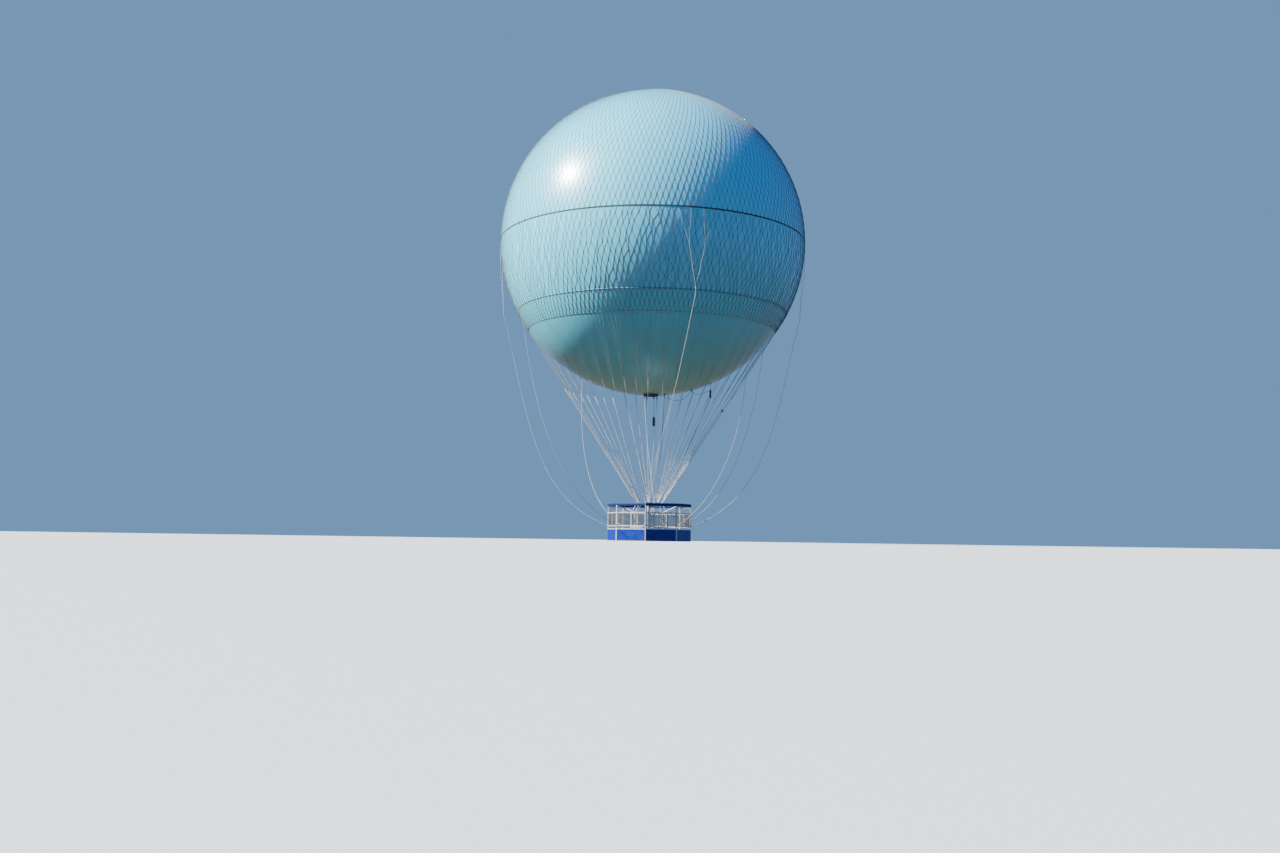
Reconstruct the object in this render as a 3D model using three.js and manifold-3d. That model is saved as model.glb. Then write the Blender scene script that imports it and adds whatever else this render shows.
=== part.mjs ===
// Tethered passenger balloon at rest just above its landing place: a gas envelope with its belts,
// a cone of suspension ropes, a load ring, and an eight-sided ring gondola round an open well.
// Millimetres, +Z up, +X to the right of the boarding side, -Y towards the boarding side.
// The origin is the envelope's centre, where the lift acts.

import * as THREE from 'three';
import Module from 'manifold-3d';
import { mergeVertices } from 'three/addons/utils/BufferGeometryUtils.js';

const wasm = await Module();
wasm.setup();

// Driving dimensions. Heights are above the gondola's underside, azimuths are degrees
// from the boarding side (-Y) towards +X.
const CENTRE_HEIGHT = 21800;
const GAP = 0.3;
const RUNNING_GAP = 0.5;
const WELD = 0.06;

const ENVELOPE = { radius: 11150, wall: 10, gores: 45, firstGore: -1, mouth: 480, crown: 700 };
const ROWS = [-80, -72, -64, -56, -48, -40, -34, -28.2, -27.8, -20, -12, -6, -0.5,
  0, 6, 12, 20, 28, 36, 44, 53, 62, 70, 78];
const CROWN = { radius: 900, thick: 28, hood: 330, hoodHeight: 60, sides: 24 };
const BASE = {
  outer: 525, inner: 440, lip: 400, height: 100, lipHeight: 25, plate: 25, plateGap: 4, sides: 24,
};
const VALVE_BOSS = { top: 70, bottom: 90, height: 70, drop: 60, sides: 12 };
const VALVE_CORD = { azimuth: 90, radius: 240, length: 1480, diameter: 22 };
const VALVE_WEIGHT = { radius: 90, height: 700, sides: 24 };

const BELT = { top: -5, bottom: -95, thick: 12 };
const LOWER_BAND = { top: -27.8, bottom: -28.2, thick: 10 };

const OCTAGON = { first: -5, corners: 8, step: 45 };
const LINE = { diameter: 26, steps: 24, sides: 8 };
const BRIDLE = {
  tab: 44, tabHeight: 21690, legs: [-6.6, -2.2, 2.2, 6.6],
  midRadius: 11110, midShare: 0.46, mids: [-2.8, 2.8], knotRadius: 10930, knotTall: 119.4, rope: 10,
};
// Each handling line: how far its knot hangs round from its post, how far its belly sways
// the same way, in degrees, and the knot's height.
const LINES = [
  [20, 3, 16450], [-9, 8, 18400], [7, 2, 16800], [-6, -4, 17500],
  [8, 3, 16600], [-11, 2, 17200], [5, -3, 16900], [-8, -5, 17800],
];
// Route of a slack handling line from its knot down: radius, and share of the drop left.
const LINE_ROUTE = [
  [10930, 1.0], [10930, 0.985], [10700, 0.921], [10480, 0.863], [10250, 0.799],
  [10000, 0.729], [9750, 0.658], [9480, 0.588], [9200, 0.521], [8890, 0.454],
  [8550, 0.390], [8160, 0.327], [7720, 0.267], [7210, 0.212], [6610, 0.159],
  [5930, 0.112], [5160, 0.071], [4360, 0.038], [3620, 0.014], [3075.6, 0],
];
const LINE_FOOT = 1112;
const LINE_BEND = { from: 0.014, to: 0.985 };

// Cable that hangs in two bights: from the mouth, under a clamp, to a box below the envelope.
const CABLE = { azimuth: 91, diameter: 24, sides: 8, steps: 72 };
const CABLE_SPIGOT = { from: 500, to: 560, height: 10604, radius: 24 };
const CABLE_CLAMP = { radius: 2950, wide: 80, long: 110, tall: 120 };
const CABLE_BOX = { radius: 4355, size: 130, bottom: 10490, top: 11060, pad: 120, padTall: 40, strap: 34 };
// Route of the cable: distance from the axis, height.
const CABLE_ROUTE = [
  [560.3, 10604], [640, 10604], [760, 10583], [930, 10530], [1110, 10462], [1300, 10383],
  [1480, 10322], [1680, 10283], [1880, 10272], [2080, 10293], [2270, 10353], [2450, 10441],
  [2620, 10565], [2745, 10700], [2840, 10833], [2915, 10910], [2990, 10925], [3090, 10872],
  [3250, 10796], [3460, 10752], [3690, 10792], [3905, 10880], [4080, 10965], [4190, 10995], [4289.7, 10995],
];

const ROPE = {
  radius: 9, lift: 4, topLat: -28.27, groups: 9, perGroup: 5, spread: 8, firstGroup: -17,
  footSpread: 22,
};
const LOAD_RING = {
  radius: 1000, width: 90, bottom: 2600, top: 2690, sides: 36, spokeWide: 80, spokeDeep: 60,
};
const HUB = { level: 2610, wide: 240, deep: 440, tall: 60 };
const LUG = { width: 120, thick: 30, top: 2790, cheek: 14, headTop: 2850 };

const GONDOLA = {
  corner: 2990, post: 80, skid: 60, deckTop: 850, deckThick: 20, edgeTop: 880,
  edgeBottom: 760, barHeight: 1070, railHeight: 2000, rail: 70, topBottom: 2470, topTop: 2530,
};
const PAD = { top: 2700, outer: 3060, inner: 2905 };
const SKIRT = { bottom: 40, top: 819, thick: 12 };
const WELL = { corner: 1290, fence: 1330, post: 60, bottomRail: 1000, topRail: 2000 };
const JOIST = { depth: 120, width: 70, innerRing: 1250, outerRing: 2810, ringHalf: 40 };
const STRUT = { size: 50, footRadius: 1371, footHeight: 2006, headHeight: 2490 };
const LINE_LUG = { reach: 15, height: 1110, deep: 50, wide: 40, tall: 60 };
const HANGER = { radius: 16, seat: 60, seatTall: 40 };
const PANEL = { thick: 30, columns: 2, rows: 1, bar: 50, side: 30, rail: 70 };
const GATE = {
  bay: 0, half: 492, post: 40, gap: 8, thick: 40, bottom: 900, top: 2035, columns: 3, rows: 3,
  bar: 24, side: 40, rail: 70, knuckle: 12, knuckleLength: 90, knuckleHeights: [1150, 1800], pin: 50, arm: 8,
};

const GIMBAL = {
  height: 2400, pin: 30, bore: 31, block: 50, half: 200, earIn: 150, earOut: 190, earWide: 60, sides: 16,
};
const FORK = { base: 2180, thick: 50, wide: 160 };
const TETHER = {
  radius: 11, bottom: 360, socket: 45, socketLength: 260, eye: 60, eyeLength: 160, overlap: 20,
};

// Places and directions.
const radians = (degrees) => degrees * Math.PI / 180;
const level = (height) => height - CENTRE_HEIGHT;

function place(azimuth, radius, height) {
  const a = radians(azimuth);
  return new THREE.Vector3(radius * Math.sin(a), -radius * Math.cos(a), level(height));
}

function onSphere(azimuth, latitude, radius) {
  const a = radians(azimuth);
  const b = radians(latitude);
  return new THREE.Vector3(
    radius * Math.cos(b) * Math.sin(a), -radius * Math.cos(b) * Math.cos(a), radius * Math.sin(b));
}

// Distance from the axis to a flat-sided ring of the envelope's gores, at any azimuth.
function goreRadius(azimuth, radius) {
  const step = 360 / ENVELOPE.gores;
  const turn = azimuth - ENVELOPE.firstGore;
  const fromMiddle = turn - step * Math.floor(turn / step) - step / 2;
  return radius * Math.cos(radians(step / 2)) / Math.cos(radians(fromMiddle));
}

const cornerAzimuth = (index) => OCTAGON.first + OCTAGON.step * index;
const bayAzimuth = (index) => cornerAzimuth(index) + OCTAGON.step / 2;
const inradius = (corner) => corner * Math.cos(radians(OCTAGON.step / 2));

// Closed geometry in and out of solids.
function signedVolume(geometry) {
  const p = geometry.attributes.position;
  const index = geometry.index.array;
  const [a, b, c] = [new THREE.Vector3(), new THREE.Vector3(), new THREE.Vector3()];
  let sum = 0;
  for (let i = 0; i < index.length; i += 3) {
    a.fromBufferAttribute(p, index[i]);
    b.fromBufferAttribute(p, index[i + 1]);
    c.fromBufferAttribute(p, index[i + 2]);
    sum += a.dot(b.cross(c));
  }
  return sum / 6;
}

function closed(geometry) {
  geometry.deleteAttribute('normal');
  geometry.deleteAttribute('uv');
  const merged = mergeVertices(geometry, 1e-3);
  const index = Array.from(merged.index.array);
  const kept = [];
  for (let i = 0; i < index.length; i += 3) {
    const [a, b, c] = [index[i], index[i + 1], index[i + 2]];
    if (a !== b && b !== c && c !== a) kept.push(a, b, c);
  }
  merged.setIndex(kept);
  if (signedVolume(merged) < 0) {
    for (let i = 0; i < kept.length; i += 3) [kept[i], kept[i + 1]] = [kept[i + 1], kept[i]];
    merged.setIndex(kept);
  }
  return merged;
}

function solid(geometry) {
  const shape = closed(geometry);
  return new wasm.Manifold(new wasm.Mesh({
    numProp: 3,
    vertProperties: new Float32Array(shape.attributes.position.array),
    triVerts: new Uint32Array(shape.index.array),
  }));
}

function fuse(pieces) {
  return pieces.map((piece) => (piece.isBufferGeometry ? solid(piece) : piece))
    .reduce((sum, next) => sum.add(next));
}

// A cut or joined solid as a mesh, with corners that nearly coincide drawn together.
function surface(manifold) {
  const mesh = manifold.getMesh();
  const position = new THREE.BufferAttribute(new Float32Array(mesh.vertProperties), 3);
  const corners = [];
  const corner = new THREE.Vector3();
  const cornerOf = Array.from({ length: position.count }, (_, i) => {
    corner.fromBufferAttribute(position, i);
    const near = corners.find((c) => c.point.distanceTo(corner) < WELD);
    if (near) return near.index;
    corners.push({ point: corner.clone(), index: i });
    return i;
  });
  const index = [];
  for (let i = 0; i < mesh.triVerts.length; i += 3) {
    const [a, b, c] = [0, 1, 2].map((k) => cornerOf[mesh.triVerts[i + k]]);
    if (a !== b && b !== c && c !== a) index.push(a, b, c);
  }
  const geometry = new THREE.BufferGeometry();
  geometry.setAttribute('position', position);
  geometry.setIndex(index);
  return geometry;
}

const joined = (geometries) => surface(fuse(geometries));

// Basic forms.
function lathe(profile, segments, firstAzimuth = 0) {
  const loop = [...profile, profile[0]].map(([r, z]) => new THREE.Vector2(r, z));
  const geometry = new THREE.LatheGeometry(loop, segments, 0, Math.PI * 2);
  geometry.rotateX(Math.PI / 2);
  geometry.rotateZ(radians(firstAzimuth));
  return geometry;
}

function disc(profile, segments, firstAzimuth = 0) {
  const points = profile.map(([r, z]) => new THREE.Vector2(r, z));
  const geometry = new THREE.LatheGeometry(points, segments, 0, Math.PI * 2);
  geometry.rotateX(Math.PI / 2);
  geometry.rotateZ(radians(firstAzimuth));
  return geometry;
}

function rod(from, to, radius, sides = 8) {
  const along = to.clone().sub(from);
  const geometry = new THREE.CylinderGeometry(radius, radius, along.length(), sides);
  geometry.applyQuaternion(new THREE.Quaternion().setFromUnitVectors(
    new THREE.Vector3(0, 1, 0), along.clone().normalize()));
  geometry.translate(...from.clone().add(to).multiplyScalar(0.5).toArray());
  return geometry;
}

function beam(from, to, width, depth) {
  const along = to.clone().sub(from);
  const x = along.clone().normalize();
  const y = new THREE.Vector3(0, 0, 1).cross(x);
  if (y.length() < 1e-3) y.set(0, 1, 0);
  y.normalize();
  const z = x.clone().cross(y);
  const geometry = new THREE.BoxGeometry(along.length(), width, depth);
  geometry.applyMatrix4(new THREE.Matrix4().makeBasis(x, y, z));
  geometry.translate(...from.clone().add(to).multiplyScalar(0.5).toArray());
  return geometry;
}

// A block whose width runs round the axis, set at an azimuth.
function block(azimuth, radius, height, deep, wide, tall) {
  const geometry = new THREE.BoxGeometry(wide, deep, tall);
  geometry.rotateZ(radians(azimuth));
  geometry.translate(...place(azimuth, radius, height).toArray());
  return geometry;
}

// An eight-sided ring between two heights, its corners at the gondola's corners.
function octagonRing(outer, inner, bottom, top) {
  const profile = [[inner, level(bottom)], [outer, level(bottom)], [outer, level(top)], [inner, level(top)]];
  return lathe(profile, OCTAGON.corners, OCTAGON.first);
}

function sweep(points, radius, sides, steps) {
  const ring = new THREE.Shape();
  for (let i = 0; i < sides; i += 1) {
    const a = 2 * Math.PI * i / sides;
    if (i === 0) ring.moveTo(radius * Math.cos(a), radius * Math.sin(a));
    else ring.lineTo(radius * Math.cos(a), radius * Math.sin(a));
  }
  const path = new THREE.CatmullRomCurve3(points, false, 'centripetal');
  return new THREE.ExtrudeGeometry(ring, { steps, bevelEnabled: false, extrudePath: path });
}

// A taut run from point to point, with one straight length between each two.
class TautRun extends THREE.Curve {
  constructor(points) {
    super();
    this.points = points;
  }

  getPointAt(share) {
    const last = this.points.length - 1;
    const index = Math.min(Math.floor(share * last + 1e-6), last - 1);
    return this.points[index].clone().lerp(this.points[index + 1], share * last - index);
  }

  getTangentAt(share) {
    const step = 0.25 / (this.points.length - 1);
    const before = this.getPointAt(Math.max(share - step, 0));
    return this.getPointAt(Math.min(share + step, 1)).sub(before).normalize();
  }
}

function tautRope(points, radius, sides) {
  const ring = new THREE.Shape();
  ring.absarc(0, 0, radius, 0, Math.PI * 2);
  const outline = new THREE.Shape(ring.getSpacedPoints(sides).slice(0, sides));
  return new THREE.ExtrudeGeometry(outline, {
    steps: points.length - 1, bevelEnabled: false, extrudePath: new TautRun(points),
  });
}

// Materials.
const material = (color, roughness, metalness) => new THREE.MeshStandardMaterial({
  color, roughness, metalness,
});
const coatedCloth = material(0xb4d8e4, 0.3, 0);
const webbing = material(0x3b4a52, 0.7, 0);
const darkFitting = material(0x23282b, 0.5, 0.4);
const cordage = material(0xd8d4c4, 0.8, 0);
const paleSteel = material(0xc9ced2, 0.45, 0.6);
const bluePaint = material(0x1246c8, 0.4, 0.1);
const bluePad = material(0x14328c, 0.7, 0);
const deckPlate = material(0x8b8f90, 0.6, 0.4);
const machined = material(0x9ea4a8, 0.3, 0.8);

const balloon = new THREE.Group();

function add(name, geometry, finish) {
  const mesh = new THREE.Mesh(geometry, finish);
  mesh.name = name;
  balloon.add(mesh);
}

// Envelope: a thin sphere of gores, open at the mouth below and at the crown above.
function envelopeProfile(radius) {
  const mouth = -Math.acos(ENVELOPE.mouth / ENVELOPE.radius);
  const crown = Math.acos(ENVELOPE.crown / ENVELOPE.radius);
  const rows = [mouth, ...ROWS.map(radians), crown];
  return rows.map((lat) => [radius * Math.cos(lat), radius * Math.sin(lat)]);
}

function envelope() {
  const outside = envelopeProfile(ENVELOPE.radius);
  const inside = envelopeProfile(ENVELOPE.radius - ENVELOPE.wall).reverse();
  return closed(lathe([...outside, ...inside], ENVELOPE.gores, ENVELOPE.firstGore));
}

function crownPlate() {
  const bottom = Math.sqrt(ENVELOPE.radius ** 2 - ENVELOPE.crown ** 2) + GAP;
  return closed(disc([[0, bottom], [CROWN.radius, bottom], [CROWN.radius, bottom + CROWN.thick],
    [0, bottom + CROWN.thick]], CROWN.sides));
}

function crownValve() {
  const bottom = Math.sqrt(ENVELOPE.radius ** 2 - ENVELOPE.crown ** 2) + 2 * GAP + CROWN.thick;
  return closed(disc([[0, bottom], [CROWN.hood, bottom], [CROWN.hood, bottom + CROWN.hoodHeight * 0.6],
    [CROWN.hood * 0.8, bottom + CROWN.hoodHeight], [0, bottom + CROWN.hoodHeight]], CROWN.sides));
}

// Mouth fittings: the clamped ring, the valve plate in it and the weighted cord below.
const mouthLevel = -Math.sqrt(ENVELOPE.radius ** 2 - ENVELOPE.mouth ** 2);

function baseRing() {
  const top = mouthLevel - GAP;
  const bottom = top - BASE.height;
  const ring = lathe([[BASE.inner, top], [BASE.outer, top], [BASE.outer, bottom], [BASE.lip, bottom],
    [BASE.lip, bottom + BASE.lipHeight], [BASE.inner, bottom + BASE.lipHeight]], BASE.sides);
  const { from, to, height, radius } = CABLE_SPIGOT;
  const spigot = rod(place(CABLE.azimuth, from, height), place(CABLE.azimuth, to, height), radius, 12);
  return joined([ring, spigot]);
}

const plateBottom = mouthLevel - GAP - BASE.height + BASE.lipHeight + GAP;
const cordTop = plateBottom - VALVE_BOSS.drop;
const besideAxis = (geometry, height) => geometry.translate(
  ...place(VALVE_CORD.azimuth, VALVE_CORD.radius, height + CENTRE_HEIGHT).toArray());

function baseValve() {
  const rim = BASE.inner - BASE.plateGap;
  const plate = disc([[0, plateBottom], [rim, plateBottom], [rim, plateBottom + BASE.plate],
    [0, plateBottom + BASE.plate]], BASE.sides);
  const { top, bottom, height, sides } = VALVE_BOSS;
  const boss = new THREE.CylinderGeometry(top, bottom, height, sides);
  boss.rotateX(Math.PI / 2);
  return joined([plate, besideAxis(boss, cordTop + height / 2 + GAP)]);
}

function valveCord() {
  const top = place(VALVE_CORD.azimuth, VALVE_CORD.radius, cordTop + CENTRE_HEIGHT);
  const bottom = top.clone();
  bottom.z -= VALVE_CORD.length;
  return closed(sweep([top, top.clone().lerp(bottom, 0.5), bottom], VALVE_CORD.diameter / 2, 8, 8));
}

function valveWeight() {
  const top = cordTop - VALVE_CORD.length - GAP;
  const r = VALVE_WEIGHT.radius;
  const bottom = top - VALVE_WEIGHT.height;
  const weight = disc([[0, top], [r * 0.4, top], [r, top - r], [r, bottom + r], [r * 0.6, bottom],
    [0, bottom]], VALVE_WEIGHT.sides);
  return closed(besideAxis(weight, 0));
}

// Cable fittings under the envelope. A block hangs square from the flat of a gore.
function underside(azimuth, radius) {
  const rim = ROWS.map((latitude) => [
    goreRadius(azimuth, ENVELOPE.radius * Math.cos(radians(latitude))),
    ENVELOPE.radius * Math.sin(radians(latitude)),
  ]);
  const next = rim.findIndex(([reach]) => reach > radius);
  const [[r0, z0], [r1, z1]] = [rim[next - 1], rim[next]];
  const slope = (z1 - z0) / (r1 - r0);
  return { height: z0 + slope * (radius - r0) + CENTRE_HEIGHT, tilt: Math.atan(slope) };
}

function hungBlock(azimuth, radius, wide, long, tall) {
  const { height, tilt } = underside(azimuth, radius);
  const geometry = new THREE.BoxGeometry(wide, long, tall);
  geometry.translate(0, 0, -tall / 2 - GAP);
  geometry.rotateX(-tilt);
  geometry.rotateZ(radians(azimuth));
  geometry.translate(...place(azimuth, radius, height).toArray());
  return geometry;
}

function cableClamp() {
  const { radius, wide, long, tall } = CABLE_CLAMP;
  return closed(hungBlock(CABLE.azimuth, radius, wide, long, tall));
}

function cableBox() {
  const { radius, size, bottom, top, pad, padTall, strap } = CABLE_BOX;
  const seat = underside(CABLE.azimuth, radius).height - padTall;
  return joined([
    hungBlock(CABLE.azimuth, radius, pad, pad, padTall),
    block(CABLE.azimuth, radius, (seat + top) / 2, strap, strap, seat - top + 20),
    block(CABLE.azimuth, radius, (bottom + top) / 2, size, size, top - bottom),
  ]);
}

function sensorCable() {
  const points = CABLE_ROUTE.map(([radius, height]) => place(CABLE.azimuth, radius, height));
  return closed(sweep(points, CABLE.diameter / 2, CABLE.sides, CABLE.steps));
}

// Belts and the handling-line bridles that hang from the upper one.
function equatorBelt() {
  const r = ENVELOPE.radius + GAP;
  const pieces = [lathe([[r, BELT.bottom], [r + BELT.thick, BELT.bottom], [r + BELT.thick, BELT.top],
    [r, BELT.top]], ENVELOPE.gores, ENVELOPE.firstGore)];
  LINES.forEach(([lead, , knotHeight], index) => {
    const centre = cornerAzimuth(index) + lead;
    const knot = place(centre, BRIDLE.knotRadius, knotHeight);
    const midHeight = BRIDLE.tabHeight - BRIDLE.midShare * (BRIDLE.tabHeight - knotHeight);
    BRIDLE.mids.forEach((midOffset, side) => {
      const mid = place(centre + midOffset, BRIDLE.midRadius, midHeight);
      pieces.push(rod(mid, knot, BRIDLE.rope, 4));
      BRIDLE.legs.slice(2 * side, 2 * side + 2).forEach((legOffset) => {
        const azimuth = centre + legOffset;
        const face = goreRadius(azimuth, r + BELT.thick);
        const tab = place(azimuth, face + BRIDLE.tab / 2, BRIDLE.tabHeight);
        pieces.push(block(azimuth, face + BRIDLE.tab / 2 - 5, BRIDLE.tabHeight + 20, BRIDLE.tab, 70, 90));
        pieces.push(rod(tab, mid, BRIDLE.rope, 4));
      });
      pieces.push(block(centre + midOffset, BRIDLE.midRadius, midHeight, 30, 50, 60));
    });
    pieces.push(block(centre, BRIDLE.knotRadius, knotHeight, 50, 50, BRIDLE.knotTall));
  });
  return joined(pieces);
}

function lowerBand() {
  const edge = (lat, r) => [r * Math.cos(radians(lat)), r * Math.sin(radians(lat))];
  const r = ENVELOPE.radius + GAP;
  return closed(lathe([edge(LOWER_BAND.bottom, r), edge(LOWER_BAND.bottom, r + LOWER_BAND.thick),
    edge(LOWER_BAND.top, r + LOWER_BAND.thick), edge(LOWER_BAND.top, r)], ENVELOPE.gores,
  ENVELOPE.firstGore));
}

function handlingLine(index) {
  const [lead, sway, knotHeight] = LINES[index];
  const drop = knotHeight - BRIDLE.knotTall / 2 - GAP - LINE_FOOT;
  const points = LINE_ROUTE.map(([radius, share]) => {
    const bend = THREE.MathUtils.clamp((share - LINE_BEND.from) / (LINE_BEND.to - LINE_BEND.from), 0, 1);
    const azimuth = cornerAzimuth(index) + lead * bend + sway * Math.sin(Math.PI * bend);
    return place(azimuth, radius, LINE_FOOT + drop * share);
  });
  return closed(sweep(points, LINE.diameter / 2, LINE.sides, LINE.steps));
}

// Suspension ropes: five to a shackle, each leaving the envelope on a tangent.
function suspensionRopes(group) {
  const centre = ROPE.firstGroup + group * ROPE.perGroup * ROPE.spread;
  const foot = place(centre, LOAD_RING.radius, LUG.headTop - 20);
  const sphere = ENVELOPE.radius + ROPE.radius + ROPE.lift;
  const reach = LUG.thick / 2 + GAP;
  const pieces = [
    block(centre, LOAD_RING.radius, (LUG.top + GAP + LUG.headTop) / 2, 2 * (reach + LUG.cheek) + 6,
      LUG.width - 10, LUG.headTop - LUG.top - GAP),
    block(centre, LOAD_RING.radius + reach + LUG.cheek / 2, LUG.top - 20, LUG.cheek, LUG.width - 20, 100),
    block(centre, LOAD_RING.radius - reach - LUG.cheek / 2, LUG.top - 20, LUG.cheek, LUG.width - 20, 100),
  ];
  for (let i = 0; i < ROPE.perGroup; i += 1) {
    const turn = i - (ROPE.perGroup - 1) / 2;
    const offset = turn * ROPE.spread;
    const across = LOAD_RING.radius * Math.cos(radians(offset));
    const tangent = Math.atan2(foot.z, across) + Math.acos(sphere / Math.hypot(across, foot.z));
    const leave = onSphere(centre + offset, tangent * 180 / Math.PI, sphere);
    const top = onSphere(centre + offset, ROPE.topLat, sphere);
    const seat = foot.clone().addScaledVector(place(centre + 90, 1, CENTRE_HEIGHT), turn * ROPE.footSpread);
    pieces.push(tautRope([top, leave, seat], ROPE.radius, 6));
  }
  return joined(pieces);
}

// Load ring with lugs above, spokes to a hub and the upper yoke of the universal joint.
function loadRing() {
  const { radius, width, bottom, top } = LOAD_RING;
  const pieces = [lathe([[radius - width / 2, level(bottom)], [radius + width / 2, level(bottom)],
    [radius + width / 2, level(top)], [radius - width / 2, level(top)]], LOAD_RING.sides, ROPE.firstGroup)];
  for (let i = 0; i < ROPE.groups; i += 1) {
    const azimuth = ROPE.firstGroup + i * ROPE.perGroup * ROPE.spread;
    pieces.push(block(azimuth, radius, (top + LUG.top) / 2 - 5, LUG.thick, LUG.width, LUG.top - top + 10));
  }
  for (let i = 0; i < 4; i += 1) {
    pieces.push(beam(place(i * 90, 60, HUB.level + 10), place(i * 90, radius, HUB.level + 30),
      LOAD_RING.spokeWide, LOAD_RING.spokeDeep));
  }
  pieces.push(block(0, 0, HUB.level, HUB.wide, HUB.deep, HUB.tall));
  const earTop = HUB.level - HUB.tall / 2 + 10;
  for (const side of [-90, 90]) pieces.push(ear(side, GIMBAL.height - GIMBAL.earWide, earTop));
  return surface(fuse(pieces).subtract(solid(earBore(90))));
}

// Universal joint: an ear of either yoke, and the bore through a pair of ears.
function ear(azimuth, bottom, top) {
  const { earIn, earOut, earWide } = GIMBAL;
  return block(azimuth, (earIn + earOut) / 2, (bottom + top) / 2, earOut - earIn, 2 * earWide, top - bottom);
}

function earBore(azimuth) {
  const reach = 2 * GIMBAL.half;
  return rod(place(azimuth, -reach, GIMBAL.height), place(azimuth, reach, GIMBAL.height), GIMBAL.bore,
    GIMBAL.sides);
}

function gimbalCross() {
  const { half, height, pin, block: size, sides } = GIMBAL;
  return joined([
    block(0, 0, height, 2 * size, 2 * size, 2 * size),
    rod(place(90, -half, height), place(90, half, height), pin, sides),
    rod(place(0, half, height), place(0, -half, height), pin, sides),
  ]);
}

function tetherFork() {
  const top = GIMBAL.height + GIMBAL.earWide;
  const pieces = [block(0, 0, FORK.base + FORK.thick / 2, 2 * GIMBAL.earOut, FORK.wide, FORK.thick)];
  for (const side of [0, 180]) pieces.push(ear(side, FORK.base, top));
  return surface(fuse(pieces).subtract(solid(earBore(0))));
}

function tether() {
  const top = FORK.base - RUNNING_GAP;
  const at = (height) => place(0, 0, height);
  return joined([
    rod(at(top), at(top - TETHER.socketLength), TETHER.socket, 16),
    rod(at(top - TETHER.overlap), at(TETHER.bottom + TETHER.overlap), TETHER.radius, 12),
    rod(at(TETHER.bottom + TETHER.eyeLength), at(TETHER.bottom), TETHER.eye / 2, 12),
  ]);
}

// Gondola.
function outerFrame() {
  const half = GONDOLA.post / 2;
  const span = half / Math.cos(radians(OCTAGON.step / 2));
  const c = GONDOLA.corner;
  const pieces = [
    octagonRing(c + span, c - span, 0, GONDOLA.skid),
    octagonRing(c + span, c - span, GONDOLA.edgeBottom, GONDOLA.edgeTop),
    octagonRing(c + span, c - span, GONDOLA.topBottom, GONDOLA.topTop),
  ];
  for (let i = 0; i < OCTAGON.corners; i += 1) {
    const a = cornerAzimuth(i);
    pieces.push(block(a, c, GONDOLA.topTop / 2, GONDOLA.post, GONDOLA.post, GONDOLA.topTop - 10));
    pieces.push(beam(place(a, STRUT.footRadius, STRUT.footHeight), place(a, c, STRUT.headHeight),
      STRUT.size, STRUT.size));
    pieces.push(block(a, c + half + LINE_LUG.reach, LINE_LUG.height, LINE_LUG.deep, LINE_LUG.wide,
      LINE_LUG.tall));
  }
  return joined(pieces);
}

function topPad() {
  return closed(octagonRing(PAD.outer, PAD.inner, GONDOLA.topTop + GAP, PAD.top));
}

function deck() {
  return closed(octagonRing(GONDOLA.corner - GONDOLA.post / 2 - 8, WELL.corner,
    GONDOLA.deckTop - GONDOLA.deckThick, GONDOLA.deckTop));
}

function floorFrame() {
  const top = GONDOLA.deckTop - GONDOLA.deckThick - GAP;
  const bottom = top - JOIST.depth;
  const pieces = [
    octagonRing(JOIST.innerRing + JOIST.ringHalf, JOIST.innerRing - JOIST.ringHalf, bottom, top),
    octagonRing(JOIST.outerRing + JOIST.ringHalf, JOIST.outerRing - JOIST.ringHalf, bottom, top),
  ];
  const halfStep = radians(OCTAGON.step / 2);
  const outerEnd = GONDOLA.corner - GONDOLA.post / 2 / Math.cos(halfStep)
    - JOIST.width / 2 * Math.tan(halfStep) - GAP;
  for (let i = 0; i < OCTAGON.corners; i += 1) {
    const a = cornerAzimuth(i);
    const mid = (top + bottom) / 2;
    pieces.push(beam(place(a, JOIST.innerRing, mid), place(a, outerEnd, mid), JOIST.width, JOIST.depth - 4));
  }
  return joined(pieces);
}

function innerFrame() {
  const bottom = GONDOLA.deckTop + GAP;
  const half = WELL.post / 2;
  const span = half / Math.cos(radians(OCTAGON.step / 2));
  const pieces = [
    octagonRing(WELL.fence + span, WELL.fence - span, WELL.topRail - half, WELL.topRail + half),
    octagonRing(WELL.fence + span, WELL.fence - span, WELL.bottomRail - half, WELL.bottomRail + half),
  ];
  for (let i = 0; i < OCTAGON.corners; i += 1) {
    const a = cornerAzimuth(i);
    const top = WELL.topRail + half - 2;
    pieces.push(block(a, WELL.fence, (top + bottom) / 2, WELL.post, WELL.post, top - bottom));
    const seat = LOAD_RING.bottom - HANGER.seatTall / 2 - GAP;
    pieces.push(rod(place(a, WELL.fence, WELL.topRail), place(a, LOAD_RING.radius, seat), HANGER.radius, 8));
    pieces.push(block(a, LOAD_RING.radius, seat, HANGER.seat, HANGER.seat, HANGER.seatTall));
  }
  return joined(pieces);
}

// A flat plate in a bay, given by its ends along the bay and its heights.
function bayPlate(bay, from, to, bottom, top, offset, thick) {
  const geometry = new THREE.BoxGeometry(to - from, thick, top - bottom);
  geometry.translate((from + to) / 2, -offset, level((bottom + top) / 2));
  geometry.rotateZ(radians(bayAzimuth(bay)));
  return geometry;
}

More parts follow.
